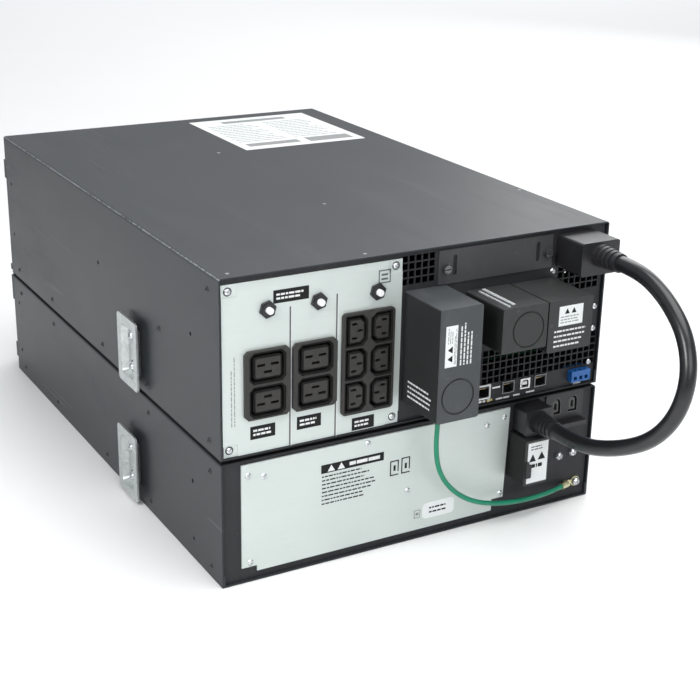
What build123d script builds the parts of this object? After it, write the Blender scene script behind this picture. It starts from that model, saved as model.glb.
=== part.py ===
"""Rackmount UPS: a 4U power module standing on a 3U battery module, joined by a battery cable.

Millimetres, +Z up. +Y is the rear, with the outlets and terminals, and -Y is the front, with
the bezels. "left" and "right" are as seen from behind, so left is +X. The origin is under the
middle of the whole object, on the surface that it stands on.
"""
import os
from math import pi, radians, tan

from build123d import *

# ---- driving dimensions -------------------------------------------------------------------
width = 432.0            # chassis, across the sides
depth = 634.0            # chassis, front edge to rear edge
battery_height = 128.0   # 3U battery module
power_height = 175.0     # 4U power module
seam = 3.0               # gap between the two modules
bezel_depth = 35.0       # each bezel stands this far in front of the chassis
cover_reach = 60.0       # the terminal covers reach this far behind the chassis
sheet = 1.5              # steel sheet
fold = 3.0               # outside radius of the covers' folded edges
recess = 3.0             # rear panels sit this far inside the rear edge
cover_edge = 2.2         # rounded edges of the small screwed covers
running = 0.08           # radial clearance of a part that slides or turns in a hole

# ---- places worked out from them ------------------------------------------------------------
rear_y = (depth + bezel_depth - cover_reach) / 2
front_y = rear_y - depth
power_z = battery_height + seam
top_z = power_z + power_height
inner_width = width - 2 * sheet
os.makedirs("parts", exist_ok=True)


def behind(out=0.0):
    """Plane facing backwards: local x runs to the right seen from behind, local y runs up."""
    return Plane(origin=(0, rear_y + out, 0), x_dir=(-1, 0, 0), z_dir=(0, 1, 0))


def before(out=0.0):
    """Plane facing forwards: local x runs along +X, local y runs up."""
    return Plane(origin=(0, front_y - out, 0), x_dir=(1, 0, 0), z_dir=(0, -1, 0))


def keep(builder, name):
    """Label a finished piece and write it as its own file."""
    builder.part.label = name
    export_step(builder.part, f"parts/{name}.step")


# ---- chassis shells ---------------------------------------------------------------------------
# Each module is a folded steel cover, open below, closed by a flat base between its sides.
screw_from_rear = (25.0, 177.0, 306.0, 475.0, 602.0)
ear_from_front = 20.0
ear_spacing = 64.0
ear_hole_r = 2.1
rail_hole_r = 2.1
power_rail_holes = ((64.0, 235.0), (308.0, 235.0))      # distance from the rear, height
battery_rail_holes = ((66.0, 84.0), (66.0, 22.0))
clip_depth = 4.0
power_clips = ((133.0, 141.0), (252.0, 276.0))          # low and high end of each bezel clip notch
battery_clips = ((15.0, 35.0), (93.0, 126.0))


def module_cover(name, base_z, height, rail_holes, clips):
    """Top and both sides folded from one sheet, with bezel notches and mounting holes."""
    ear_z = base_z + height / 2
    with BuildPart() as cover:
        with BuildSketch(before()) as profile:
            with Locations((0, base_z + height / 2)):
                Rectangle(width, height)
            fillet(profile.vertices().group_by(Axis.Y)[-1], radius=fold)
            with Locations((0, base_z + height / 2 - sheet)):
                Rectangle(inner_width, height, mode=Mode.SUBTRACT)
        extrude(amount=-depth)
        with BuildSketch(Plane.YZ):
            for from_rear, z in rail_holes:
                with Locations((rear_y - from_rear, z)):
                    Circle(rail_hole_r)
            with Locations((front_y + ear_from_front, ear_z)):
                with GridLocations(0, ear_spacing, 1, 2):
                    Circle(ear_hole_r)
            for low, high in clips:
                with Locations((front_y, (low + high) / 2)):
                    Rectangle(2 * clip_depth, high - low)
        extrude(amount=width, both=True, mode=Mode.SUBTRACT)
    keep(cover, name)


def module_base(name, base_z):
    """Flat base sheet between the cover's sides, with low folded flanges along both sides."""
    flange = 14.0
    with BuildPart() as base:
        with BuildSketch(before()):
            with Locations((0, base_z + flange / 2)):
                Rectangle(inner_width, flange)
            with Locations((0, base_z + flange / 2 + sheet)):
                Rectangle(inner_width - 2 * sheet, flange, mode=Mode.SUBTRACT)
        extrude(amount=-depth)
        with BuildSketch(before()):
            with Locations((0, base_z + sheet + flange / 2)):
                Rectangle(inner_width, flange)
        extrude(amount=-clip_depth - 1, mode=Mode.SUBTRACT)
    keep(base, name)


module_cover("battery_module_cover", 0, battery_height, battery_rail_holes, battery_clips)
module_base("battery_module_base", 0)
module_cover("power_module_cover", power_z, power_height, power_rail_holes, power_clips)
module_base("power_module_base", power_z)

# ---- battery module, rear -----------------------------------------------------------------------
link_x = (166.5, 188.0)          # the two spare link sockets
link_z = 112.0
link_open = (11.0, 17.0)
plug_size = (46.0, 34.0)         # moulded plug of the battery cable
low_plug_x = 130.0
low_plug_z = 110.0
low_plug_size = (34.0, 28.0)
service_x = 124.0
service_z = 69.5
service_size = (30.0, 50.0)
service_reach = 27.0
ground_x = 200.0
ground_z = 19.0
test_socket = (158.0, 30.0)

with BuildPart() as battery_rear_panel:
    with BuildSketch(behind(-recess)):
        with Locations((0, battery_height / 2)):
            Rectangle(inner_width - 2 * sheet, battery_height - 2 * sheet)
        with Locations(((link_x[0] + link_x[1]) / 2, link_z)):
            Rectangle(42.4, 24.4, mode=Mode.SUBTRACT)
        with Locations((low_plug_x, low_plug_z)):
            Rectangle(30, 24, mode=Mode.SUBTRACT)
        with Locations(test_socket):
            Rectangle(7, 7, mode=Mode.SUBTRACT)
    extrude(amount=-sheet)
keep(battery_rear_panel, "battery_rear_panel")

# Bright plate over the left part of the panel, its right end stepped in at the foot.
plate_left = -195.0
plate_right = 108.0
plate_top = 122.5
plate_foot = 9.0
with BuildPart() as battery_rear_plate:
    with BuildSketch(behind(-recess)):
        with BuildLine():
            Polyline(
                (plate_left + 16, plate_foot),
                (plate_right - 17, plate_foot),
                (plate_right - 17, plate_foot + 13),
                (plate_right - 3, plate_foot + 13),
                (plate_right, plate_top),
                (plate_left, plate_top),
                (plate_left, plate_foot + 6),
                (plate_left + 16, plate_foot + 6),
                close=True,
            )
        make_face()
    extrude(amount=sheet)
    top_edge = battery_rear_plate.edges().filter_by(Axis.X).group_by(Axis.Y)[-1].group_by(Axis.Z)[-1]
    fillet(top_edge, radius=0.9)
keep(battery_rear_plate, "battery_rear_plate")

# Spare link sockets: arched mouths with a drip ledge below.
link_width = 42.0
with BuildPart() as link_sockets:
    with BuildSketch(behind(-recess - 26)):
        with Locations((sum(link_x) / 2, link_z)):
            Rectangle(link_width, 24)
    extrude(amount=26)
    with BuildSketch(behind(-recess)):
        with Locations((sum(link_x) / 2, link_z)):
            RectangleRounded(link_width + 6, 28, 3)
    extrude(amount=2)
    with BuildSketch(behind(-recess)):
        with Locations((sum(link_x) / 2, link_z - 20)):
            Rectangle(link_width + 6, 5)
    extrude(amount=11)
    with BuildSketch(behind(-recess)):
        with Locations((sum(link_x) / 2, link_z - 17)):
            Rectangle(link_width + 6, 8)
    extrude(amount=2)
    with BuildSketch(behind(-recess + 2)) as mouths:
        for x in link_x:
            with Locations((x, link_z)):
                Rectangle(*link_open)
        fillet(mouths.vertices().group_by(Axis.Y)[-1], radius=link_open[0] / 2 - 0.4)
    extrude(amount=-22, mode=Mode.SUBTRACT)
keep(link_sockets, "link_sockets")

# Small screwed cover over the service terminals.
with BuildPart() as service_cover:
    with BuildSketch(behind(-recess)):
        with Locations((service_x, service_z)):
            Rectangle(*service_size)
    extrude(amount=service_reach + recess)
    fillet(service_cover.edges().filter_by(Axis.Y), radius=cover_edge)
    offset(amount=-sheet, openings=service_cover.faces().sort_by(Axis.Y)[0])
keep(service_cover, "service_cover")

# ---- battery module, inside: two sliding trays of sealed batteries ---------------------------------
tray_width = 203.0
tray_length = 560.0
tray_height = 104.0
tray_gap = 0.4
tray_x = 105.0
battery_size = (65.0, 151.0, 94.0)
battery_rows = 3
battery_columns = 3


def battery_tray(side, name, cells_name):
    """Open steel tray with a folded pull at its front, and the batteries standing in it."""
    x = side * tray_x
    z = sheet + tray_gap
    start = front_y + 2
    with BuildPart() as tray:
        with BuildSketch(Plane.XY.offset(z)):
            with Locations((x, start + tray_length / 2)):
                Rectangle(tray_width, tray_length)
        extrude(amount=tray_height)
        offset(amount=-sheet, openings=tray.faces().sort_by(Axis.Z)[-1])
        with BuildSketch(before(-2)):
            with Locations((x, z + 62)):
                SlotOverall(96, 26)
        extrude(amount=-3 * sheet, mode=Mode.SUBTRACT)
    keep(tray, name)
    with BuildPart() as cells:
        with BuildSketch(Plane.XY.offset(z + sheet)):
            with Locations((x, start + 90 + battery_size[1] * battery_rows / 2)):
                with GridLocations(battery_size[0] + 1, battery_size[1] + 1, battery_columns, battery_rows):
                    Rectangle(battery_size[0], battery_size[1])
        extrude(amount=battery_size[2])
        fillet(cells.edges().filter_by(Axis.Z), radius=2)
    keep(cells, cells_name)


battery_tray(1, "battery_tray_left", "batteries_left")
battery_tray(-1, "battery_tray_right", "batteries_right")

# ---- power module, rear panel -------------------------------------------------------------------
outlet_panel_box = (-213.0, 133.0, -27.0, 299.0)     # left, low, right, high
c19_left_x = -169.0
c19_right_x = -120.0
c19_z = 200.5
c19_size = (46.0, 67.0)
c13_x = -63.5
c13_z = 203.5
c13_size = (56.0, 102.0)
block_reach = 3.5
block_inset = 2.0
breaker_x = (-168.0, -116.0, -54.0)
breaker_z = 271.0
thumb_x = (20.5, 140.0)
thumb_z = 283.0
vent_cell = 6.2
vent_pitch = 7.5
jack_x = (74.0, 104.0, 144.0)
jack_z = 145.5
jack_open = (11.8, 8.6)
usb_x = 125.0
epo_x = 192.0
epo_z = 144.0
epo_size = (24.0, 12.0)
high_plug_x = 176.0
high_plug_z = 283.0
cover_boxes = {
    "input_cover": (-23.0, 153.0, 24.0, 266.0),
    "output_cover": (47.0, 211.0, 99.0, 256.0),
    "bypass_cover": (100.5, 203.0, 153.0, 255.5),
}


def box_centre(box):
    return (box[0] + box[2]) / 2, (box[1] + box[3]) / 2


def box_size(box):
    return box[2] - box[0], box[3] - box[1]


def vent(x, z, columns, rows):
    """Square vent cells, cut from the sketch that is being drawn."""
    with Locations((x, z)):
        with GridLocations(vent_pitch, vent_pitch, columns, rows):
            Rectangle(vent_cell, vent_cell, mode=Mode.SUBTRACT)


with BuildPart() as power_rear_panel:
    with BuildSketch(behind(-recess)):
        with Locations((0, power_z + power_height / 2)):
            Rectangle(inner_width - 2 * sheet, power_height - 2 * sheet)
        for x in (c19_left_x, c19_right_x):
            with Locations((x, c19_z)):
                Rectangle(c19_size[0] - 3, c19_size[1] - 3, mode=Mode.SUBTRACT)
        with Locations((c13_x, c13_z)):
            Rectangle(c13_size[0] - 3, c13_size[1] - 3, mode=Mode.SUBTRACT)
        for x in breaker_x:
            with Locations((x, breaker_z)):
                Circle(6.2, mode=Mode.SUBTRACT)
        vent(-8.5, 286.0, 5, 4)
        vent(183.0, 252.0, 7, 4)
        vent(138.0, 171.0, 20, 5)
        for x in jack_x:
            with Locations((x, jack_z)):
                Rectangle(15.4, 13.4, mode=Mode.SUBTRACT)
        with Locations((usb_x, jack_z)):
            Rectangle(12.4, 11.4, mode=Mode.SUBTRACT)
        with Locations((epo_x, epo_z)):
            Rectangle(epo_size[0] + 0.8, epo_size[1] + 0.8, mode=Mode.SUBTRACT)
        with Locations((81, thumb_z)):
            Rectangle(92, 26, mode=Mode.SUBTRACT)
        for x in thumb_x:
            with Locations((x, thumb_z)):
                Circle(2.0 + running, mode=Mode.SUBTRACT)
        with Locations((high_plug_x, high_plug_z)):
            Rectangle(30, 24, mode=Mode.SUBTRACT)
        for box in cover_boxes.values():
            with Locations(box_centre(box)):
                Rectangle(26, 14, mode=Mode.SUBTRACT)
    extrude(amount=-sheet)
keep(power_rear_panel, "power_rear_panel")

# Bright outlet panel: the raised field has four corners pressed back as screw tabs, and its top
# edge slopes back.
tab_sheet = 0.7
tab = (15.0, 12.0)
slope = 6.0
with BuildPart() as outlet_panel:
    with BuildSketch(behind(-recess)):
        with Locations(box_centre(outlet_panel_box)):
            Rectangle(*box_size(outlet_panel_box))
    extrude(amount=sheet)
    with BuildSketch(behind(-recess + sheet)):
        for x in (outlet_panel_box[0], outlet_panel_box[2]):
            for z in (outlet_panel_box[1], outlet_panel_box[3]):
                with Locations((x, z)):
                    Rectangle(2 * tab[0], 2 * tab[1])
    extrude(amount=tab_sheet - sheet, mode=Mode.SUBTRACT)
    with BuildSketch(Plane.YZ):
        with BuildLine():
            Polyline(
                (rear_y - recess + sheet, outlet_panel_box[3] - slope),
                (rear_y - recess + sheet, outlet_panel_box[3]),
                (rear_y - recess + tab_sheet, outlet_panel_box[3]),
                close=True,
            )
        make_face()
    extrude(amount=width / 2, both=True, mode=Mode.SUBTRACT)
    with BuildSketch(behind(-recess)):
        for x in (c19_left_x, c19_right_x):
            with Locations((x, c19_z)):
                Rectangle(c19_size[0] - 3, c19_size[1] - 3)
        with Locations((c13_x, c13_z)):
            Rectangle(c13_size[0] - 3, c13_size[1] - 3)
        for x in breaker_x:
            with Locations((x, breaker_z)):
                Circle(6.2)
    extrude(amount=sheet, mode=Mode.SUBTRACT)
keep(outlet_panel, "outlet_panel")

# ---- outlets --------------------------------------------------------------------------------------
c19_ring = (34.0, 27.5)
c19_island = (28.0, 21.5)
c19_pitch = 33.0
c13_ring = (21.5, 29.0)
c13_island = (16.5, 24.0)
corner_cut = 3.5
earth_cut = 5.0          # the 10 A outlets' two cut corners, on the earth slot's side
c13_pitch = (27.0, 33.0)
ring_depth = 16.0
slot_depth = 13.0
block_face = -recess + sheet + block_reach


def c19_slots(flip):
    """The three flat slots of a 16 A outlet, earth slot offset to one side."""
    return ((-7.0, 2.5 * flip), (7.0, 2.5 * flip), (0.0, -4.5 * flip))


def c13_slots(flip):
    """The three flat slots of a 10 A outlet standing on end."""
    return ((-2.5 * flip, -7.0), (-2.5 * flip, 7.0), (3.5 * flip, 0.0))


def cut_outline(size, cut, side):
    """Corners of an upright rectangle, the two on one side cut off."""
    half_width = size[0] / 2
    half_height = size[1] / 2
    corners = [
        (-half_width, -half_height),
        (half_width - cut, -half_height),
        (half_width, cut - half_height),
        (half_width, half_height - cut),
        (half_width - cut, half_height),
        (-half_width, half_height),
    ]
    if side > 0:
        return corners
    return [(-x, z) for x, z in reversed(corners)]


def c19_block(x, name):
    """Two 16 A outlets, one above the other, the lower one turned over."""
    with BuildPart() as block:
        with BuildSketch(behind(-recess + sheet)) as outline:
            with Locations((x, c19_z)):
                Rectangle(*c19_size)
            chamfer(outline.vertices(), length=corner_cut)
        extrude(amount=block_reach)
        with BuildSketch(behind(-recess + sheet)):
            with Locations((x, c19_z)):
                Rectangle(c19_size[0] - 3.6, c19_size[1] - 3.6)
        extrude(amount=-34)
        for flip in (1, -1):
            centre = (x, c19_z + flip * c19_pitch / 2)
            with BuildSketch(behind(block_face)) as ring:
                with Locations(centre):
                    Rectangle(*c19_ring)
                chamfer(ring.vertices(), length=corner_cut)
                with Locations(centre):
                    RectangleRounded(*c19_island, 2.5, mode=Mode.SUBTRACT)
            extrude(amount=-ring_depth, mode=Mode.SUBTRACT)
            with BuildSketch(behind(block_face)):
                with Locations(centre):
                    with Locations(*c19_slots(flip)):
                        Rectangle(8.0, 2.6)
            extrude(amount=-slot_depth, mode=Mode.SUBTRACT)
    keep(block, name)


c19_block(c19_left_x, "c19_block_left")
c19_block(c19_right_x, "c19_block_right")

with BuildPart() as c13_block:
    with BuildSketch(behind(-recess + sheet)):
        with Locations((c13_x, c13_z)):
            RectangleRounded(c13_size[0], c13_size[1], 4)
    extrude(amount=block_reach)
    with BuildSketch(behind(-recess + sheet)):
        with Locations((c13_x, c13_z)):
            Rectangle(c13_size[0] - 3.6, c13_size[1] - 3.6)
    extrude(amount=-34)
    for column in (-1, 1):
        for row in (-1, 0, 1):
            centre = (c13_x + column * c13_pitch[0] / 2, c13_z + row * c13_pitch[1])
            with BuildSketch(behind(block_face)):
                with Locations(centre):
                    Polygon(*cut_outline(c13_ring, earth_cut, -column), align=None)
                    inner_cut = earth_cut - 1
                    Polygon(*cut_outline(c13_island, inner_cut, -column), align=None, mode=Mode.SUBTRACT)
            extrude(amount=-ring_depth, mode=Mode.SUBTRACT)
            with BuildSketch(behind(block_face)):
                with Locations(centre):
                    with Locations(*c13_slots(-column)):
                        Rectangle(5.6, 2.4)
            extrude(amount=-slot_depth, mode=Mode.SUBTRACT)
keep(c13_block, "c13_block")

# Spring contacts, one at the bottom of each slot.
with BuildPart() as outlet_contacts:
    with BuildSketch(behind(block_face - slot_depth)):
        for x in (c19_left_x, c19_right_x):
            for flip in (1, -1):
                with Locations((x, c19_z + flip * c19_pitch / 2)):
                    with Locations(*c19_slots(flip)):
                        Rectangle(6.4, 1.6)
        for column in (-1, 1):
            for row in (-1, 0, 1):
                with Locations((c13_x + column * c13_pitch[0] / 2, c13_z + row * c13_pitch[1])):
                    with Locations(*c13_slots(-column)):
                        Rectangle(4.4, 1.4)
    extrude(amount=7)
keep(outlet_contacts, "outlet_contacts")

# ---- circuit breakers with reset buttons ------------------------------------------------------------
breaker_bore_r = 3.3
button_reach = 4.5
button_length = 20.0
panel_out = -recess + sheet
with BuildPart() as breaker_bodies:
    for x in breaker_x:
        with BuildSketch(behind(panel_out)):
            with Locations((x, breaker_z)):
                RegularPolygon(8.4, 6, rotation=15)
                Circle(6.1, mode=Mode.SUBTRACT)
        extrude(amount=2.6)
        with BuildSketch(behind(panel_out)):
            with Locations((x, breaker_z)):
                Circle(6.1)
        extrude(amount=3.4)
        with BuildSketch(behind(panel_out)):
            with Locations((x, breaker_z)):
                Circle(6.1)
        extrude(amount=-6)
        with BuildSketch(behind(panel_out - 6)):
            with Locations((x, breaker_z + 1)):
                Rectangle(16, 28)
        extrude(amount=-32)
        with BuildSketch(behind(panel_out + 3.4)):
            with Locations((x, breaker_z)):
                Circle(breaker_bore_r)
        extrude(amount=-26, mode=Mode.SUBTRACT)
keep(breaker_bodies, "breaker_bodies")

for index, x in enumerate(breaker_x, start=1):
    with BuildPart() as breaker_button:
        with BuildSketch(behind(panel_out + 3.4 + button_reach)):
            with Locations((x, breaker_z)):
                Circle(breaker_bore_r - running)
        extrude(amount=-button_length - button_reach)
        fillet(breaker_button.edges().group_by(Axis.Y)[-1], radius=0.8)
    keep(breaker_button, f"breaker_button_{index}")

# ---- card slot cover and its two captive thumbscrews --------------------------------------------------
with BuildPart() as card_slot_cover:
    with BuildSketch(behind(-recess)):
        with Locations(((thumb_x[0] + thumb_x[1]) / 2, thumb_z + 1)):
            Rectangle(134, 34)
        for x in thumb_x:
            with Locations((x, thumb_z)):
                Circle(2.0 + running, mode=Mode.SUBTRACT)
        for x in (31.5, 129.5):
            with Locations((x, thumb_z + 2)):
                SlotOverall(20, 4.5, rotation=90, mode=Mode.SUBTRACT)
    extrude(amount=sheet)
keep(card_slot_cover, "card_slot_cover")

thumb_r = 4.2
thumb_reach = 5.5
for side, x in zip(("left", "right"), thumb_x):
    with BuildPart() as thumbscrew:
        with BuildSketch(behind(-recess + sheet + 0.2)):
            with Locations((x, thumb_z)):
                Circle(thumb_r)
        extrude(amount=thumb_reach)
        with BuildSketch(behind(-recess + sheet + 0.2)):
            with Locations((x, thumb_z)):
                with PolarLocations(thumb_r, 18):
                    Circle(0.4)
        extrude(amount=thumb_reach, mode=Mode.SUBTRACT)
        with BuildSketch(behind(-recess + sheet + 0.2 + thumb_reach)):
            with Locations((x, thumb_z)):
                Rectangle(7, 1.2)
        extrude(amount=-1.6, mode=Mode.SUBTRACT)
        with BuildSketch(behind(-recess + sheet + 0.2)):
            with Locations((x, thumb_z)):
                Circle(2.0)
        extrude(amount=-12)
    keep(thumbscrew, f"card_thumbscrew_{side}")

# ---- terminal covers: folded boxes with round knockouts ----------------------------------------------
knockout_r = 18.0
groove = 0.9
knockouts = {"input_cover": (-0.5, 178.0), "output_cover": (77.0, 232.0), "bypass_cover": None}
for name, box in cover_boxes.items():
    with BuildPart() as terminal_cover:
        with BuildSketch(behind(-recess)):
            with Locations(box_centre(box)):
                Rectangle(*box_size(box))
        extrude(amount=cover_reach + recess)
        fillet(terminal_cover.edges().filter_by(Axis.Y), radius=cover_edge)
        offset(amount=-sheet, openings=terminal_cover.faces().sort_by(Axis.Y)[0])
        if knockouts[name]:
            with BuildSketch(behind(cover_reach)):
                with Locations(knockouts[name]):
                    Circle(knockout_r)
                    Circle(knockout_r - groove, mode=Mode.SUBTRACT)
            extrude(amount=-sheet / 2, mode=Mode.SUBTRACT)
        if name == "input_cover":
            with BuildSketch(Plane.XY.offset(box[1])):
                with Locations((-7, rear_y + 18)):
                    Circle(4)
            extrude(amount=sheet, mode=Mode.SUBTRACT)
    keep(terminal_cover, name)

# Screw terminal blocks under the three covers.
with BuildPart() as terminal_blocks:
    for box in cover_boxes.values():
        x, z = box_centre(box)
        with BuildSketch(behind(-recess)):
            with Locations((x, z)):
                Rectangle(40, 24)
        extrude(amount=20)
        with BuildSketch(behind(-recess + 20)):
            with Locations((x, z)):
                with GridLocations(12, 0, 3, 1):
                    Circle(4)
        extrude(amount=-3, mode=Mode.SUBTRACT)
keep(terminal_blocks, "terminal_blocks")

# ---- communication sockets ---------------------------------------------------------------------------
with BuildPart() as data_jacks:
    for x in jack_x:
        with BuildSketch(behind(-recess + 1)):
            with Locations((x, jack_z)):
                Rectangle(15, 13)
        extrude(amount=-18)
        with BuildSketch(behind(-recess + 1)):
            with Locations((x, jack_z - 0.6)):
                Rectangle(*jack_open)
            with Locations((x, jack_z - 0.6 - jack_open[1] / 2)):
                Rectangle(6, 2.6)
        extrude(amount=-14, mode=Mode.SUBTRACT)
keep(data_jacks, "data_jacks")

with BuildPart() as usb_socket:
    with BuildSketch(behind(-recess + 0.8)):
        with Locations((usb_x, jack_z)):
            Rectangle(12, 11)
    extrude(amount=-16)
    with BuildSketch(behind(-recess + 0.8)) as mouth:
        with Locations((usb_x, jack_z)):
            Rectangle(8.6, 7.9)
        chamfer(mouth.vertices().group_by(Axis.Y)[-1], length=1.6)
    extrude(amount=-10, mode=Mode.SUBTRACT)
    with BuildSketch(behind(-recess - 9.2)):
        with Locations((usb_x, jack_z)):
            Rectangle(5.4, 3.0)
    extrude(amount=8)
keep(usb_socket, "usb_socket")

# Pluggable two-way terminal of the remote power-off input.
with BuildPart() as epo_plug:
    with BuildSketch(behind(4)):
        with Locations((epo_x, epo_z)):
            Rectangle(*epo_size)
    extrude(amount=-18)
    with BuildSketch(behind(4)):
        with Locations((epo_x, epo_z - 2)):
            with GridLocations(7, 0, 3, 1):
                Rectangle(4, 4)
    extrude(amount=-5, mode=Mode.SUBTRACT)
    with BuildSketch(Plane.XY.offset(epo_z + epo_size[1] / 2)):
        with Locations((-epo_x, rear_y + 0.5)):
            with GridLocations(7, 0, 3, 1):
                Circle(1.8)
    extrude(amount=-1.5, mode=Mode.SUBTRACT)
keep(epo_plug, "epo_plug")

# ---- battery cable with its two moulded plugs, and their sockets ------------------------------------
cable_d = 16.0
boot_r = 12.0
high_plug_reach = 38.0
low_plug_reach = 20.0
high_boot_length = 30.0
low_boot_length = 26.0
high_cable_z = 286.0


def cable_plug(x, z, size, reach, boot_z, boot_length, name):
    """Moulded plug block, with a ribbed boot that tapers onto the cable."""
    with BuildPart() as plug:
        with BuildSketch(behind(-recess + 0.3)) as block:
            with Locations((x, z)):
                Rectangle(*size)
            fillet(block.vertices(), radius=3)
        extrude(amount=reach + recess - 0.3)
        with BuildSketch(behind(reach)):
            with Locations((x, boot_z)):
                Circle(boot_r)
        with BuildSketch(behind(reach + boot_length)):
            with Locations((x, boot_z)):
                Circle(cable_d / 2 + 1.5)
        loft()
        for step in range(4):
            out = reach + 5 + step * (boot_length - 6) / 4
            with BuildSketch(behind(out)):
                with Locations((x, boot_z)):
                    Circle(boot_r + 2)
                    Circle(cable_d / 2 + 0.2 + 2.6 * (1 - step / 4), mode=Mode.SUBTRACT)
            extrude(amount=2.2, mode=Mode.SUBTRACT)
        with BuildSketch(behind(-recess + 0.3)):
            with Locations((x, z)):
                Rectangle(26, 20)
        extrude(amount=-14)
    keep(plug, name)


high_plug = (high_plug_x, high_plug_z, plug_size, high_plug_reach, high_cable_z, high_boot_length)
low_plug = (low_plug_x, low_plug_z, low_plug_size, low_plug_reach, low_plug_z, low_boot_length)
cable_plug(*high_plug, "power_plug")
cable_plug(*low_plug, "battery_plug")

with BuildPart() as plug_sockets:
    for x, z in ((high_plug_x, high_plug_z), (low_plug_x, low_plug_z)):
        with BuildSketch(behind(-recess - sheet)):
            with Locations((x, z)):
                Rectangle(34, 28)
                Rectangle(27, 21, mode=Mode.SUBTRACT)
        extrude(amount=-20)
keep(plug_sockets, "plug_sockets")


def cord_path(points):
    """Straight runs joined by arcs as large as the runs allow; also gives the arcs' radii."""
    spots = [Vector(-x, rear_y + out, z) for x, out, z in points]
    sizes = []
    for first, middle, last in zip(spots, spots[1:], spots[2:]):
        into = middle - first
        away = last - middle
        turn = radians(into.get_angle(away))
        sizes.append(0.49 * min(into.length, away.length) / tan(turn / 2))
    return spots, sizes


def cord(points, diameter, name):
    """Round cord along its route, with its volume set against section times length."""
    spots, sizes = cord_path(points)
    with BuildPart() as tube:
        with BuildLine() as path:
            FilletPolyline(*spots, radius=sizes)
        with BuildSketch(Plane(origin=path.wire() @ 0, z_dir=path.wire() % 0)):
            Circle(diameter / 2)
        sweep(path=path.wire())
    expected = pi * diameter**2 / 4 * path.wire().length
    print(name, "length", round(path.wire().length, 1), "radii", [round(size, 1) for size in sizes])
    print(name, "volume over section x length", round(tube.part.volume / expected, 4))
    keep(tube, name)


# Right of centre, distance behind the rear edge, height.
cable_points = (
    (176.0, high_plug_reach + high_boot_length, high_cable_z),
    (176.0, 89.0, high_cable_z),
    (176.0, 115.0, 280.5),
    (175.0, 143.0, 267.0),
    (171.0, 171.5, 245.5),
    (164.0, 189.0, 213.5),
    (156.0, 187.0, 176.0),
    (148.0, 166.0, 144.0),
    (139.0, 129.0, 122.5),
    (130.0, 86.0, low_plug_z),
    (130.0, low_plug_reach + low_boot_length, low_plug_z),
)
cord(cable_points, cable_d, "battery_cable")

# ---- ground wire, from the input cover to the ground stud --------------------------------------------
wire_d = 5.0
wire_points = (
    (7.0, 18.0, 157.0),
    (6.5, 18.5, 134.0),
    (5.0, 19.0, 108.0),
    (9.0, 19.5, 81.0),
    (25.0, 20.0, 57.0),
    (51.0, 20.0, 38.0),
    (86.0, 18.0, 26.5),
    (121.0, 14.0, 21.0),
    (152.0, 11.0, 19.5),
    (178.0, 3.6, ground_z),
)
cord(wire_points, wire_d, "ground_wire")

barrel_length = 11.0
wire_spots, wire_radii = cord_path(wire_points)
with BuildPart() as ground_lug:
    with BuildSketch(behind(-recess + 0.4)):
        with Locations((ground_x, ground_z)):
            Circle(5.5)
        with Locations((ground_x - 8, ground_z)):
            Rectangle(14, 5)
        with Locations((ground_x, ground_z)):
            Circle(2.6, mode=Mode.SUBTRACT)
    extrude(amount=1.4)
    with BuildSketch(Plane(origin=wire_spots[-1], z_dir=wire_spots[-1] - wire_spots[-2])):
        Circle(3.4)
    extrude(amount=barrel_length)
keep(ground_lug, "ground_lug")

# ---- power module, inside -----------------------------------------------------------------------------
fan_x = (-127.0, 0.0, 127.0)
fan_z = power_z + 87.0
fan_size = 120.0
fan_thick = 25.0
fan_bore_r = 57.0
fan_front = 7.0          # from the chassis front edge to the fan's front face
hub_r = 20.0
blade_count = 7
front_panel_in = 5.0

with BuildPart() as power_front_panel:
    with BuildSketch(before(-front_panel_in)):
        with Locations((0, power_z + power_height / 2)):
            Rectangle(inner_width - 2 * sheet, power_height - 2 * sheet)
        with Locations(*[(x, fan_z) for x in fan_x]):
            Circle(fan_bore_r - 1, mode=Mode.SUBTRACT)
    extrude(amount=-sheet)
keep(power_front_panel, "power_front_panel")

with BuildPart() as fan_frames:
    for x in fan_x:
        with BuildSketch(before(-fan_front)):
            with Locations((x, fan_z)):
                RectangleRounded(fan_size, fan_size, 6)
                Circle(fan_bore_r, mode=Mode.SUBTRACT)
        extrude(amount=-fan_thick)
        with BuildSketch(before(-fan_front - fan_thick + 3)):
            with Locations((x, fan_z)):
                Circle(hub_r)
                with PolarLocations(fan_bore_r / 2 + 8, 4, start_angle=45):
                    Rectangle(fan_bore_r, 5)
                Circle(2.5, mode=Mode.SUBTRACT)
        extrude(amount=-3)
keep(fan_frames, "fan_frames")

for side, x in zip(("right", "middle", "left"), fan_x):
    with BuildPart(before(-fan_front - 2)) as fan_rotor:
        with Locations((x, fan_z, -8.5)):
            Cylinder(hub_r, 17)
            Cylinder(2.5 - running, 15.5, align=(Align.CENTER, Align.CENTER, Align.MAX))
        with Locations((x, fan_z, -8.5)):
            with PolarLocations(hub_r + 16, blade_count):
                Box(36, 22, 1.8, rotation=(38, 0, 0))
    keep(fan_rotor, f"fan_rotor_{side}")

board_z = power_z + 16.0
with BuildPart() as power_board:
    with BuildSketch(Plane.XY.offset(board_z)):
        with Locations((0, rear_y - 310)):
            Rectangle(392, 480)
    extrude(amount=1.6)
keep(power_board, "power_board")

with BuildPart() as heat_sinks:
    for x in (-110, 110):
        with BuildSketch(before(-70)):
            with Locations((x, board_z + 1.6 + 4)):
                Rectangle(130, 8)
            with Locations((x, board_z + 1.6 + 40)):
                with GridLocations(8.6, 0, 15, 1):
                    Rectangle(1.8, 66)
        extrude(amount=-220)
keep(heat_sinks, "heat_sinks")

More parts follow.
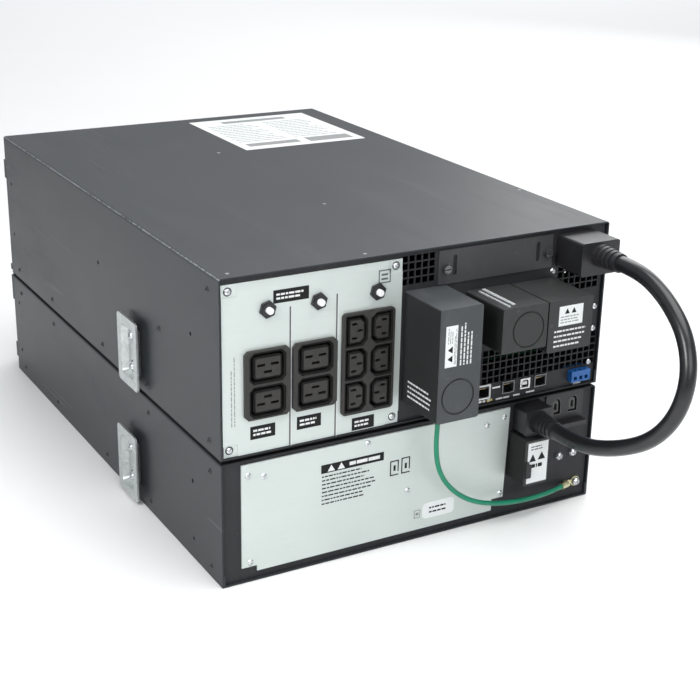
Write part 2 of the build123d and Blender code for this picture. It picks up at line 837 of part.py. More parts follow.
with BuildPart() as inductors:
    with BuildSketch(Plane.XY.offset(board_z + 1.6)):
        with Locations((0, rear_y - 290)):
            with GridLocations(120, 0, 3, 1):
                Circle(32)
                Circle(13, mode=Mode.SUBTRACT)
    extrude(amount=30)
    fillet(inductors.edges().filter_by(GeomType.CIRCLE), radius=7)
keep(inductors, "inductors")

with BuildPart() as capacitors:
    with BuildSketch(Plane.XY.offset(board_z + 1.6)):
        with Locations((0, rear_y - 200)):
            with GridLocations(40, 44, 8, 2):
                Circle(17)
    extrude(amount=50)
    fillet(capacitors.edges().group_by(Axis.Z)[-1], radius=2)
keep(capacitors, "capacitors")

# ---- front bezels ---------------------------------------------------------------------------------
bezel_wall = 2.6
bezel_taper = 15.0
bezel_side = 0.6         # each bezel's back edge is this far inside the chassis outline
display_size = (112.0, 62.0)
display_x = 0.0
display_z = power_z + 87.0
display_gap = 1.4
display_thick = 13.0
display_front = bezel_depth - 1.5
hinge_z = display_z + display_size[1] / 2 - 5.0
hinge_in = 5.0
hinge_r = 2.5
power_button_x = 92.0
power_button_r = 9.0
louvre_pitch = 9.0
louvre_open = 4.6


def bezel_shell(base_z, height):
    """Tapered plastic cap, open at its back: returned as a loose solid."""
    with BuildPart(mode=Mode.PRIVATE) as shell:
        with BuildSketch(before()):
            with Locations((0, base_z + height / 2)):
                Rectangle(width - 2 * bezel_side, height - 2 * bezel_side)
        extrude(amount=bezel_depth, taper=bezel_taper)
        fillet(shell.edges().group_by(Axis.Y)[0], radius=4)
        with BuildSketch(before()):
            with Locations((0, base_z + height / 2)):
                Rectangle(width - 2 * (bezel_side + bezel_wall), height - 2 * (bezel_side + bezel_wall))
        extrude(amount=bezel_depth - bezel_wall, taper=bezel_taper, mode=Mode.SUBTRACT)
    return shell.part


def clip_boxes(clips):
    """Clips at both sides, which reach back into the chassis notches: returned as loose solids."""
    boxes = []
    for low, high in clips:
        for side in (-1, 1):
            size = (6.0, 3.5 + 8.0, high - low - 1.0)
            x = side * (width / 2 - bezel_side - 3.0)
            middle = (x, front_y + 3.5 - size[1] / 2, (low + high) / 2)
            boxes.append(Pos(*middle) * Box(*size, mode=Mode.PRIVATE))
    return boxes


power_cap = bezel_shell(power_z, power_height)
power_bezel_clips = clip_boxes(power_clips)
with BuildPart() as power_bezel:
    add(power_cap)
    add(power_bezel_clips)
    with BuildSketch(before(bezel_depth)):
        with Locations((display_x, display_z)):
            Rectangle(display_size[0] + 8, display_size[1] + 8)
    extrude(amount=-22)
    with BuildSketch(before(bezel_depth)):
        with Locations((display_x, display_z)):
            Rectangle(display_size[0] + 2 * display_gap, display_size[1] + 2 * display_gap)
    extrude(amount=-19, mode=Mode.SUBTRACT)
    with BuildSketch(before(bezel_depth)):
        with Locations((power_button_x, display_z)):
            Circle(power_button_r + 4)
    extrude(amount=-16)
    with BuildSketch(before(bezel_depth)):
        with Locations((power_button_x, display_z)):
            Circle(power_button_r + 0.3)
    extrude(amount=-13, mode=Mode.SUBTRACT)
    with BuildSketch(before(bezel_depth)):
        for x in (-142, 150):
            with Locations((x, display_z)):
                with GridLocations(0, louvre_pitch, 1, 15):
                    Rectangle(90 if x > 0 else 106, louvre_open)
        for z in (display_z - 54, display_z + 54):
            with Locations((8, z)):
                with GridLocations(0, louvre_pitch, 1, 3):
                    Rectangle(150, louvre_open)
    extrude(amount=-bezel_wall - 4, mode=Mode.SUBTRACT)
    with BuildSketch(Plane.YZ.offset(display_x)):
        with Locations((front_y - display_front + hinge_in, hinge_z)):
            Circle(hinge_r + running)
    extrude(amount=display_size[0] / 2 + 3.4, both=True, mode=Mode.SUBTRACT)
keep(power_bezel, "power_bezel")

battery_cap = bezel_shell(0, battery_height)
battery_bezel_clips = clip_boxes(battery_clips)
with BuildPart() as battery_bezel:
    add(battery_cap)
    add(battery_bezel_clips)
    with BuildSketch(before(bezel_depth)):
        for x in (-98, 98):
            with Locations((x, battery_height / 2)):
                with GridLocations(0, louvre_pitch, 1, 10):
                    Rectangle(170, louvre_open)
    extrude(amount=-bezel_wall - 4, mode=Mode.SUBTRACT)
keep(battery_bezel, "battery_bezel")

# ---- tilting display with its keys ----------------------------------------------------------------
window_size = (62.0, 40.0)
window_x = -18.0
key_r = 5.0
key_gap = 0.3
key_reach = 1.2
key_places = {
    "up_key": (32.0, 12.0),
    "down_key": (32.0, -12.0),
    "escape_key": (46.0, 12.0),
    "enter_key": (46.0, -12.0),
}
with BuildPart() as display_housing:
    with BuildSketch(before(display_front)):
        with Locations((display_x, display_z)):
            Rectangle(*display_size)
    extrude(amount=-display_thick)
    fillet(display_housing.edges().filter_by(Axis.X).group_by(Axis.Y)[0], radius=4.4)
    with BuildSketch(before(display_front)):
        with Locations((display_x + window_x, display_z)):
            Rectangle(window_size[0] + 0.4, window_size[1] + 0.4)
    extrude(amount=-2.2, mode=Mode.SUBTRACT)
    with BuildSketch(before(display_front)):
        for x, z in key_places.values():
            with Locations((display_x + x, display_z + z)):
                Circle(key_r + key_gap)
    extrude(amount=-8, mode=Mode.SUBTRACT)
    with BuildSketch(Plane.YZ.offset(display_x)):
        with Locations((front_y - display_front + hinge_in, hinge_z)):
            Circle(hinge_r)
    extrude(amount=display_size[0] / 2 + 3.2, both=True)
keep(display_housing, "display_housing")

with BuildPart() as display_window:
    with BuildSketch(before(display_front - 0.4)):
        with Locations((display_x + window_x, display_z)):
            Rectangle(*window_size)
    extrude(amount=-1.8)
keep(display_window, "display_window")

for name, (x, z) in key_places.items():
    with BuildPart() as key:
        with BuildSketch(before(display_front + key_reach)):
            with Locations((display_x + x, display_z + z)):
                Circle(key_r)
        extrude(amount=-7.5)
        fillet(key.edges().group_by(Axis.Y)[0], radius=0.8)
    keep(key, name)

with BuildPart() as power_button:
    with BuildSketch(before(bezel_depth)):
        with Locations((power_button_x, display_z)):
            Circle(power_button_r)
    extrude(amount=-11)
    fillet(power_button.edges().group_by(Axis.Y)[0], radius=1.2)
keep(power_button, "power_button")

# ---- side brackets: two on each side, plates with a pocket pressed in to the chassis ---------------
bracket_width = 52.0
bracket_height = 74.0
bracket_stand = 9.0
bracket_sheet = 2.0
pocket = (36.0, 58.0)
pocket_taper = 25.0
bracket_places = ((207.0, power_z + 2.0), (219.0, 4.0))
bracket_screw_spacing = 34.0
with BuildPart() as side_brackets:
    for from_rear, low in bracket_places:
        for side in (-1, 1):
            outer = Plane(
                origin=(side * (width / 2 + bracket_stand), rear_y - from_rear, low + bracket_height / 2),
                x_dir=(0, side, 0),
                z_dir=(side, 0, 0),
            )
            with BuildSketch(outer):
                RectangleRounded(bracket_width, bracket_height, 5)
            extrude(amount=-bracket_sheet)
            with BuildSketch(outer):
                RectangleRounded(*pocket, 6)
            extrude(amount=-bracket_stand, taper=pocket_taper)
            with BuildSketch(outer):
                RectangleRounded(pocket[0] - 2 * bracket_sheet, pocket[1] - 2 * bracket_sheet, 5)
            extrude(amount=bracket_sheet - bracket_stand, taper=pocket_taper, mode=Mode.SUBTRACT)
keep(side_brackets, "side_brackets")

# ---- fasteners ------------------------------------------------------------------------------------
# Dark button-head screws along the sides of both covers.
case_screw_r = 3.0
case_screw_head = 1.2
screw_rows = (
    (12.0, screw_from_rear),
    (battery_height - 16.0, screw_from_rear[:2] + screw_from_rear[3:]),
    (power_z + 12.0, screw_from_rear),
    (power_z + 84.0, (141.0,)),
    (top_z - 16.0, (24.0,)),
)
with BuildPart() as case_screws:
    for side in (-1, 1):
        for z, distances in screw_rows:
            spots = [(rear_y - distance, z) for distance in distances]
            with BuildSketch(Plane.YZ.offset(side * width / 2)):
                with Locations(*spots):
                    Circle(case_screw_r)
            extrude(amount=side * case_screw_head)
            with BuildSketch(Plane.YZ.offset(side * (width / 2 + case_screw_head))):
                with Locations(*spots):
                    RegularPolygon(1.3, 6)
            extrude(amount=-side * 0.8, mode=Mode.SUBTRACT)
keep(case_screws, "case_screws")

# Bright cross-head screws of the rear panels and the brackets, and the ground studs.
plate_out = -recess + sheet
screw_places = (
    (-recess + tab_sheet, 3.2, ((-206.5, 292.5), (-34.0, 293.0), (-206.5, 140.0), (-33.5, 140.0))),
    (plate_out, 3.2, ((-188.0, 111.0), (-172.0, 107.0), (-186.0, 19.5), (-60.0, 117.0), (80.0, 108.0),
                      (101.0, 113.0), (-13.0, 56.0), (101.0, 27.0))),
    (-recess, 3.4, ((206.0, 155.0), (208.0, 216.0), (208.0, 192.0), (159.0, 61.0), (150.5, 262.0))),
    (-recess, 4.2, ((176.0, 53.0), (194.0, 54.0))),
    (-recess + 1.8, 4.4, ((ground_x, ground_z),)),
)
with BuildPart() as panel_screws:
    for out, head_r, places in screw_places:
        with BuildSketch(behind(out)):
            with Locations(*places):
                Circle(head_r)
        extrude(amount=2.0, taper=20)
        with BuildSketch(behind(out + 2.0)):
            with Locations(*places):
                Rectangle(head_r, 0.8)
                Rectangle(0.8, head_r)
        extrude(amount=-1.0, mode=Mode.SUBTRACT)
    for from_rear, low in bracket_places:
        for side in (-1, 1):
            with BuildSketch(Plane.YZ.offset(side * (width / 2 + bracket_sheet))):
                with Locations((rear_y - from_rear, low + bracket_height / 2)):
                    with GridLocations(0, bracket_screw_spacing, 1, 2):
                        Circle(5.0)
            extrude(amount=side * 2.4)
            with BuildSketch(Plane.YZ.offset(side * (width / 2 + bracket_sheet + 2.4))):
                with Locations((rear_y - from_rear, low + bracket_height / 2)):
                    with GridLocations(0, bracket_screw_spacing, 1, 2):
                        Rectangle(5.6, 1.0)
                        Rectangle(1.0, 5.6)
            extrude(amount=-side * 1.4, mode=Mode.SUBTRACT)
keep(panel_screws, "panel_screws")
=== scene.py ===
import random
from math import cos, pi, sin

import bmesh
import bpy
from mathutils import Matrix, Vector


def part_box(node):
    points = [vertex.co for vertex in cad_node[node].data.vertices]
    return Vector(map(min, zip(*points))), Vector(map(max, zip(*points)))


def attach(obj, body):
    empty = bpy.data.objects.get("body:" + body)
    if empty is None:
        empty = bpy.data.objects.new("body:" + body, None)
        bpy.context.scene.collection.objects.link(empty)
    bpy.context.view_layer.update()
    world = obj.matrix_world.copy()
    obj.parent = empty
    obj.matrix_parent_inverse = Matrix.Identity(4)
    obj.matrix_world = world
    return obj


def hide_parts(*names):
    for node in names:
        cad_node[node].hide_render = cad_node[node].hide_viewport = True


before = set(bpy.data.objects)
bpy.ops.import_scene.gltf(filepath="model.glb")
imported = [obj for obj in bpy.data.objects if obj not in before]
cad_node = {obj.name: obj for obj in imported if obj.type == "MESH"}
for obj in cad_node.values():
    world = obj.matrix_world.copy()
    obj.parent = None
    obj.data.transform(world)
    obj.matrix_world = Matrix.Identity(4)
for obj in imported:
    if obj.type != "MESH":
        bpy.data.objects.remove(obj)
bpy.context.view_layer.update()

# ---- Camera, floor and light ---------------------------------------------------------------
# A long lens from the rear left, a little above the unit. The floor is one pale sheet in a bright
# room, lit by soft boxes to the right, the rear, overhead, low on the left and far behind.
camera_turn, camera_rise, camera_roll = 0.52192, 0.36340, 0.02066
camera_target = Vector((-0.05164, 0.0705, 0.11541))
away = Vector((sin(camera_turn) * cos(camera_rise), cos(camera_turn) * cos(camera_rise), sin(camera_rise)))
level = (-away).cross(Vector((0, 0, 1))).normalized()
upright = level.cross(-away)
camera_right = level * cos(camera_roll) + upright * sin(camera_roll)
camera_up = upright * cos(camera_roll) - level * sin(camera_roll)
lens = bpy.data.cameras.new("camera")
lens.lens = 1412.3 / 700 * 36
camera = bpy.data.objects.new("camera", lens)
camera.matrix_world = (Matrix.Translation(camera_target + away * 1.6044)
                       @ Matrix((camera_right, camera_up, away)).transposed().to_4x4())
bpy.context.collection.objects.link(camera)
bpy.context.scene.camera = camera
bpy.context.scene.view_settings.view_transform = "Standard"


def soft_box(name, place, target, size, watts):
    light = bpy.data.lights.new(name, "AREA")
    light.shape = "RECTANGLE"
    light.size, light.size_y = size
    light.energy = watts
    holder = bpy.data.objects.new(name, light)
    holder.location = place
    holder.rotation_euler = (Vector(target) - Vector(place)).to_track_quat("-Z", "Y").to_euler()
    bpy.context.collection.objects.link(holder)


soft_box("right_soft_box", (-2.6, -1.5, 1.4), (0, 0, 0.2), (2.2, 1.6), 19)
soft_box("rear_soft_box", (0.3, 3.2, 1.9), (0, 0.2, 0.1), (2.2, 1.6), 32)
soft_box("overhead_box", (-0.6, 0.7, 2.6), (-0.1, 0.3, 0), (2.4, 2.4), 60)
soft_box("left_floor_box", (1.0, 0.7, 0.9), (0.42, 0.25, 0.0), (0.5, 0.5), 10)
soft_box("back_floor_box", (-3.2, -5.0, 4.5), (-3.2, -5.2, 0.0), (6.0, 4.5), 245)
room = bpy.data.worlds.new("room")
room.use_nodes = True
room.node_tree.nodes["Background"].inputs["Color"].default_value = (0.90, 0.96, 1.0, 1)
room.node_tree.nodes["Background"].inputs["Strength"].default_value = 0.36
bpy.context.scene.world = room


class Wire:
    """One shader socket that works in sums and products; every expression adds its Math nodes."""

    def __init__(self, tree, socket=None):
        self.tree = tree
        self.socket = socket

    def node(self, kind, settings, values, out=0):
        made = self.tree.nodes.new("ShaderNode" + kind)
        for name, value in settings.items():
            if name == "stops":
                for index, (at, colour) in enumerate(value):
                    stop = made.color_ramp.elements[index] if index < 2 else made.color_ramp.elements.new(at)
                    stop.position = at
                    stop.color = (*colour, 1)
            else:
                setattr(made, name, value)
        for name, value in values.items():
            socket = made.inputs[name]
            if isinstance(value, Wire):
                self.tree.links.new(value.socket, socket)
            elif socket.type == "RGBA":
                socket.default_value = (*value, 1)
            else:
                socket.default_value = value
        return Wire(self.tree, made.outputs[out])

    def maths(self, operation, first, second=0.0, clamp=False):
        return self.node("Math", {"operation": operation, "use_clamp": clamp}, {0: first, 1: second})

    def __add__(self, other):
        return self.maths("ADD", self, other)

    def __sub__(self, other):
        return self.maths("SUBTRACT", self, other)

    def __rsub__(self, other):
        return self.maths("SUBTRACT", other, self)

    def __mul__(self, other):
        return self.maths("MULTIPLY", self, other)

    __radd__ = __add__
    __rmul__ = __mul__


def spot(wire, turn=(0, 0, 0), size=(1, 1, 1), shift=(0, 0, 0)):
    """The point being shaded, in metres of the object, turned, stretched or moved for a pattern."""
    place = wire.node("TexCoord", {}, {}, "Object")
    return wire.node("Mapping", {}, {"Vector": place, "Rotation": turn, "Scale": size, "Location": shift})


def noise(wire, place, scale, detail=2.0, rough=0.5):
    return wire.node("TexNoise", {}, {"Vector": place, "Scale": scale, "Detail": detail,
        "Roughness": rough})


def between(wire, value, low, high):
    """0 below low, 1 above high, smooth between them."""
    return wire.node("MapRange", {"interpolation_type": "SMOOTHSTEP"},
                     {"Value": value, "From Min": low, "From Max": high})


def mixed(wire, amount, first, second):
    return wire.node("Mix", {"data_type": "RGBA"}, {0: amount, 6: first, 7: second}, 2)


def bump(wire, height, distance, strength=1.0):
    return wire.node("Bump", {}, {"Height": height, "Distance": distance, "Strength": strength})


def finish(name, recipe, **fixed):
    """A named finish: recipe(wire) gives what varies over the surface, fixed gives plain values."""
    made = bpy.data.materials.new(name)
    made.use_nodes = True
    tree = made.node_tree
    shell = tree.nodes["Principled BSDF"]
    for socket, value in fixed.items():
        shell.inputs[socket.replace("_", " ")].default_value = value
    for socket, value in recipe(Wire(tree)).items():
        tree.links.new(value.socket, shell.inputs[socket])
    return made


def floor_recipe(wire):
    patch = noise(wire, spot(wire), 3.0)
    return {"Base Color": mixed(wire, patch, (0.86, 0.86, 0.86), (0.88, 0.88, 0.88))}


floor_mesh = bpy.data.meshes.new("floor")
floor_mesh.from_pydata([(-9, -9, -0.0005), (9, -9, -0.0005), (9, 9, -0.0005), (-9, 9, -0.0005)], [],
    [(0, 1, 2, 3)])
floor_mesh.materials.append(finish("pale_floor", floor_recipe, Roughness=0.6))
floor = bpy.data.objects.new("floor", floor_mesh)
bpy.context.collection.objects.link(floor)

# ---- Battery cable ---------------------------------------------------------------------------
# A 16 mm rubber-jacketed cable with a moulded plug at each end, carrying the battery current up
# to the power module. It is stiff, so it springs out in one loop from plug to plug.
rear_edge = 0.3045


def back(right, up, out=0.0):
    """A point near the rear: millimetres right of the middle, above the floor, behind the edge."""
    return Vector((-right / 1000, rear_edge + out / 1000, up / 1000))


def jacket_recipe(wire):
    place = spot(wire)
    grain = noise(wire, place, 900, 3)
    cloud = noise(wire, place, 40, 2)
    return {
        "Base Color": mixed(wire, cloud, (0.006, 0.006, 0.007), (0.016, 0.016, 0.018)),
        "Roughness": 0.22 + cloud * 0.16,
        "Normal": bump(wire, grain, 0.00012, 0.5),
    }


cable_jacket = finish("cable_jacket", jacket_recipe, Coat_Weight=0.25, Coat_Roughness=0.2)


def cord_curve(name, route, diameter, body, material):
    """A round cord as one smooth spline through its route's control points."""
    line = bpy.data.curves.new(name, "CURVE")
    line.dimensions = "3D"
    line.resolution_u = 14
    line.bevel_depth = diameter / 2
    line.bevel_resolution = 7
    line.use_fill_caps = True
    spline = line.splines.new("NURBS")
    spline.points.add(len(route) - 1)
    for point, place in zip(spline.points, route):
        point.co = (*back(place[0], place[2], place[1]), 1)
    spline.order_u = 3
    spline.use_endpoint_u = True
    line.materials.append(material)
    made = bpy.data.objects.new(name, line)
    bpy.context.collection.objects.link(made)
    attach(made, body)
    return made


cable_route = (
    (176.0, 68.0, 286.0), (176.0, 89.0, 286.0), (176.0, 115.0, 280.5), (175.0, 143.0, 267.0),
    (171.0, 171.5, 245.5), (164.0, 189.0, 213.5), (156.0, 187.0, 176.0), (148.0, 166.0, 144.0),
    (139.0, 129.0, 122.5), (130.0, 86.0, 110.0), (130.0, 46.0, 110.0),
)
cable = cord_curve("battery_cable_jacket", cable_route, 0.016, "chassis", cable_jacket)
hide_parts("battery_cable")
back(176, 286, 68)


# ---- Ground wire -------------------------------------------------------------------------------
# Green insulated wire from a hole under the input cover, crimped into a tinned ring lug that is
# held by the stud low on the battery module.
def insulation_recipe(wire):
    cloud = noise(wire, spot(wire), 60, 2)
    return {
        "Base Color": mixed(wire, cloud, (0.0, 0.16, 0.085), (0.005, 0.24, 0.13)),
        "Roughness": 0.30 + cloud * 0.15,
        "Normal": bump(wire, noise(wire, spot(wire), 1200, 2), 0.00005, 0.5),
    }


wire_route = (
    (7.0, 18.0, 157.0), (6.5, 18.5, 134.0), (5.0, 19.0, 108.0), (9.0, 19.5, 81.0), (25.0, 20.0, 57.0),
    (51.0, 20.0, 38.0), (86.0, 18.0, 26.5), (121.0, 14.0, 21.0), (152.0, 11.0, 19.5), (178.0, 3.6, 19.0),
)
ground = cord_curve("ground_wire_green", wire_route, 0.005, "chassis",
                    finish("green_insulation", insulation_recipe))
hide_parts("ground_wire")
back(7, 157, 18)


def wear(node, material):
    """Gives a carried-over CAD node its finish."""
    cad_node[node].data.materials.clear()
    cad_node[node].data.materials.append(material)


def lug_recipe(wire):
    place = spot(wire)
    return {
        "Base Color": mixed(wire, noise(wire, place, 220, 3), (0.55, 0.50, 0.22), (0.74, 0.72, 0.55)),
        "Roughness": 0.25 + noise(wire, place, 500, 2) * 0.25,
        "Normal": bump(wire, noise(wire, place, 900, 2), 0.0001, 0.4),
    }


wear("ground_lug", finish("tinned_lug", lug_recipe, Metallic=0.9))

# ---- Folded covers and bases ---------------------------------------------------------------------
# Each module's top and sides are one folded steel sheet, powder coated satin black, with a flat
# steel base slid in between and screwed along the sides.


# Painted shade over the gap between the modules: near black, reaching about 1 mm onto each cover's edge.
seam_height, seam_shade_half, seam_shade_fade = 0.1295, 0.0021, 0.0007


def coat_recipe(low, high, shine, folds=()):
    """Powder coat: fine orange peel, faint smears of dust, rubbed metal along folded edges, and painted
    shade over the gap between the modules when folds are given.
    """

    def recipe(wire):
        place = spot(wire)
        peel = noise(wire, place, 700, 3, 0.6)
        cloud = noise(wire, place, 7, 4, 0.6)
        smear = noise(wire, spot(wire, (0, 0, 0.6), (2.0, 0.25, 1.0)), 14, 5, 0.7)
        scratch = between(wire, noise(wire, spot(wire, (0.2, 0.1, 0.9), (60, 1.5, 60)), 2.2, 3, 0.4), 0.70,
            0.76)
        dust = between(wire, smear, 0.5, 0.75) * 0.5
        coat = mixed(wire, cloud, low, high)
        coat = mixed(wire, dust * 0.35, coat, tuple(min(1.0, part * 2.2 + 0.015) for part in high))
        colour = mixed(wire, scratch * 0.25, coat, tuple(part * 1.6 + 0.03 for part in high))
        rough = shine + cloud * 0.10 + dust * 0.14 - scratch * 0.08
        if folds:
            x = wire.node("SeparateXYZ", {}, {"Vector": place}, 0)
            z = wire.node("SeparateXYZ", {}, {"Vector": place}, 2)
            edge = between(wire, wire.maths("ABSOLUTE", x), 0.2140, 0.2156)
            for fold_z in folds:
                near = 1 - between(wire, wire.maths("ABSOLUTE", z - fold_z), 0.0006, 0.0022)
                worn = edge * near * between(wire, noise(wire, place, 130, 4, 0.7), 0.32, 0.62)
                colour = mixed(wire, worn * 0.8, colour, (0.42, 0.44, 0.46))
            # Painted shade: near black over the gap between the modules and the cover edges beside it.
            from_seam = wire.maths("ABSOLUTE", z - seam_height)
            seam_shade = 1 - between(wire, from_seam, seam_shade_half, seam_shade_half + seam_shade_fade)
            colour = mixed(wire, seam_shade * 0.92, colour, (0.002, 0.002, 0.002))
            rough = rough + seam_shade * 0.4
        return {"Base Color": colour, "Roughness": rough, "Normal": bump(wire, peel, 0.00018, 0.45)}

    return recipe


cover_coat = finish("satin_black_coat", coat_recipe((0.016, 0.019, 0.022), (0.027, 0.030, 0.034),
    0.33, (0.306,)), Specular_IOR_Level=0.32)
for cover in ("power_module_cover", "battery_module_cover", "power_module_base", "battery_module_base"):
    wear(cover, cover_coat)

panel_coat = finish("panel_black_coat", coat_recipe((0.018, 0.018, 0.020), (0.030, 0.030, 0.033), 0.46),
    Specular_IOR_Level=0.25)
for panel in ("power_rear_panel", "battery_rear_panel", "power_front_panel"):
    wear(panel, panel_coat)
wear("card_slot_cover", finish("card_cover_coat", coat_recipe((0.045, 0.045, 0.047), (0.060, 0.060, 0.062),
    0.40), Specular_IOR_Level=0.3))

def painted_side_shade(recipe):
    """Paints shade into the base colour of the faces that look sideways towards +X: painted shade, not a
    second coat of paint.
    """
    def made(wire):
        inputs = recipe(wire)
        facing = wire.node("SeparateXYZ", {}, {"Vector": wire.node("NewGeometry", {}, {}, "Normal")}, 0)
        # Painted shade: faces whose normal points towards +X are mixed towards near black.
        side = between(wire, facing, 0.5, 0.9)
        inputs["Base Color"] = mixed(wire, side * 0.8, inputs["Base Color"], (0.004, 0.004, 0.004))
        inputs["Roughness"] = inputs["Roughness"] + side * 0.15
        return inputs

    return made


# Painted shade darkens the walls of these covers that face +X.
cover_box_coat_and_side_shade = finish("cover_box_coat_and_side_shade", painted_side_shade(coat_recipe((0.028, 0.030, 0.030),
    (0.042, 0.044, 0.044), 0.44)), Specular_IOR_Level=0.3)
for box in ("output_cover", "bypass_cover", "service_cover"):
    wear(box, cover_box_coat_and_side_shade)
wear("input_cover", finish("input_cover_coat_and_side_shade", painted_side_shade(coat_recipe((0.044, 0.049, 0.051),
    (0.062, 0.067, 0.070), 0.42)), Specular_IOR_Level=0.3))


# ---- Bright panels -----------------------------------------------------------------------------
# The outlet panel and the lower plate are zinc-plated steel, brushed sideways and clear coated,
# with sheared edges that catch the light.
def plate_recipe(wire):
    place = spot(wire)
    brushed = noise(wire, spot(wire, (0, 0, 0), (1.2, 60, 60)), 26, 4, 0.6)
    cloud = noise(wire, place, 9, 3, 0.55)
    fine = noise(wire, place, 1500, 2)
    colour = mixed(wire, cloud, (0.54, 0.595, 0.57), (0.66, 0.71, 0.69))
    colour = mixed(wire, brushed * 0.35, colour, (0.47, 0.52, 0.50))
    return {
        "Base Color": colour,
        "Roughness": 0.40 + brushed * 0.16 + cloud * 0.06,
        "Metallic": 0.35 + cloud * 0.15,
        "Normal": bump(wire, brushed + fine * 0.4, 0.00006, 0.5),
    }


zinc = finish("brushed_zinc", plate_recipe)
wear("outlet_panel", zinc)
wear("battery_rear_plate", zinc)


# ---- Outlets -------------------------------------------------------------------------------------
# Outlet blocks moulded in dark grey plastic, pushed through the bright panel from behind, with
# a brass contact at the bottom of every slot.
def moulded_recipe(low, high, shine, grain_size=1100, depth=0.0001):
    def recipe(wire):
        place = spot(wire)
        cloud = noise(wire, place, 30, 3, 0.6)
        grain = noise(wire, place, grain_size, 3, 0.6)
        scuff = between(wire, noise(wire, spot(wire, (0.5, 0.3, 0.2), (8, 60, 8)), 6, 4, 0.6), 0.62, 0.72)
        colour = mixed(wire, cloud, low, high)
        return {
            "Base Color": mixed(wire, scuff * 0.3, colour, tuple(part * 1.8 + 0.01 for part in high)),
            "Roughness": shine + cloud * 0.12 + grain * 0.06 - scuff * 0.06,
            "Normal": bump(wire, grain, depth, 0.5),
        }

    return recipe


outlet_plastic = finish("outlet_plastic", moulded_recipe((0.022, 0.021, 0.020), (0.038, 0.036, 0.034),
    0.36), Specular_IOR_Level=0.3)
for block in ("c19_block_left", "c19_block_right", "c13_block"):
    wear(block, outlet_plastic)


def brass_recipe(wire):
    place = spot(wire)
    stain = noise(wire, place, 300, 3, 0.6)
    return {
        "Base Color": mixed(wire, stain, (0.55, 0.36, 0.12), (0.83, 0.64, 0.30)),
        "Roughness": 0.22 + stain * 0.25,
        "Normal": bump(wire, stain, 0.00008, 0.4),
    }


wear("outlet_contacts", finish("contact_brass", brass_recipe, Metallic=1.0))

# ---- Circuit breakers ----------------------------------------------------------------------------
# Push-to-reset breakers: a black bushing with a hexagonal nut, and a white button that pops out
# when the breaker trips.
black_plastic = finish("black_plastic", moulded_recipe((0.010, 0.010, 0.011), (0.020, 0.020, 0.022), 0.34))
for part in ("breaker_bodies", "terminal_blocks", "plug_sockets", "data_jacks", "link_sockets"):
    wear(part, black_plastic)
button_white = finish("button_white", moulded_recipe((0.70, 0.71, 0.71), (0.80, 0.81, 0.81), 0.30, 700))
for button in ("breaker_button_1", "breaker_button_2", "breaker_button_3"):
    wear(button, button_white)


# ---- Fasteners -----------------------------------------------------------------------------------
# Bright zinc cross-head screws hold the panels and brackets, and black socket button heads hold
# the folded covers to their bases. All are turned and rolled steel, set out by Geometry Nodes.
def bright_recipe(wire):
    place = spot(wire)
    stain = noise(wire, place, 260, 4, 0.6)
    turned = noise(wire, spot(wire, (0, 0, 0), (1, 8, 1)), 900, 2)
    return {
        "Base Color": mixed(wire, stain, (0.62, 0.64, 0.66), (0.82, 0.83, 0.84)),
        "Roughness": 0.16 + stain * 0.22,
        "Normal": bump(wire, turned, 0.00004, 0.4),
    }


bright_screw = finish("bright_screw", bright_recipe, Metallic=1.0)
wear("usb_socket", bright_screw)
thumb_steel = finish("thumb_steel", coat_recipe((0.16, 0.165, 0.17), (0.26, 0.265, 0.27), 0.26),
    Metallic=0.9)
wear("card_thumbscrew_left", thumb_steel)
wear("card_thumbscrew_right", thumb_steel)


class Steps:
    """A Geometry Nodes tree with named sizes; add() makes one node and wires or sets its inputs."""

    def __init__(self, name, sizes):
        self.tree = bpy.data.node_groups.new(name, "GeometryNodeTree")
        self.face = self.tree.interface
        self.face.new_socket("Places", in_out="INPUT", socket_type="NodeSocketGeometry")
        for size, value in sizes.items():
            self.face.new_socket(size, in_out="INPUT", socket_type="NodeSocketFloat").default_value = value
        self.face.new_socket("Finish", in_out="INPUT", socket_type="NodeSocketMaterial")
        self.face.new_socket("Pieces", in_out="OUTPUT", socket_type="NodeSocketGeometry")
        self.start = self.tree.nodes.new("NodeGroupInput")
        self.end = self.tree.nodes.new("NodeGroupOutput")

    def size(self, name):
        return self.start.outputs[name]

    def add(self, kind, settings, values, out=0):
        made = self.tree.nodes.new(kind)
        for name, value in settings.items():
            setattr(made, name, value)
        for name, value in values.items():
            for one in value if isinstance(value, list) else [value]:
                if isinstance(one, bpy.types.NodeSocket):
                    self.tree.links.new(one, made.inputs[name])
                else:
                    made.inputs[name].default_value = one
        return made.outputs[out]

    def times(self, first, second):
        return self.add("ShaderNodeMath", {"operation": "MULTIPLY"}, {0: first, 1: second})

    def vector(self, x, y, z):
        return self.add("ShaderNodeCombineXYZ", {}, {"X": x, "Y": y, "Z": z})

    def stand(self, shape):
        """Stands a copy of the shape at every place, its Z along the place's aim, as real mesh."""
        aim = self.add("GeometryNodeInputNamedAttribute", {"data_type": "FLOAT_VECTOR"}, {"Name": "aim"})
        turn = self.add("FunctionNodeAlignRotationToVector", {"axis": "Z"}, {"Vector": aim})
        copies = self.add("GeometryNodeInstanceOnPoints", {},
                          {"Points": self.start.outputs["Places"], "Instance": shape, "Rotation": turn})
        real = self.add("GeometryNodeRealizeInstances", {}, {"Geometry": copies})
        done = self.add("GeometryNodeSetMaterial", {}, {"Geometry": real,
            "Material": self.start.outputs["Finish"]})
        self.tree.links.new(done, self.end.inputs["Pieces"])


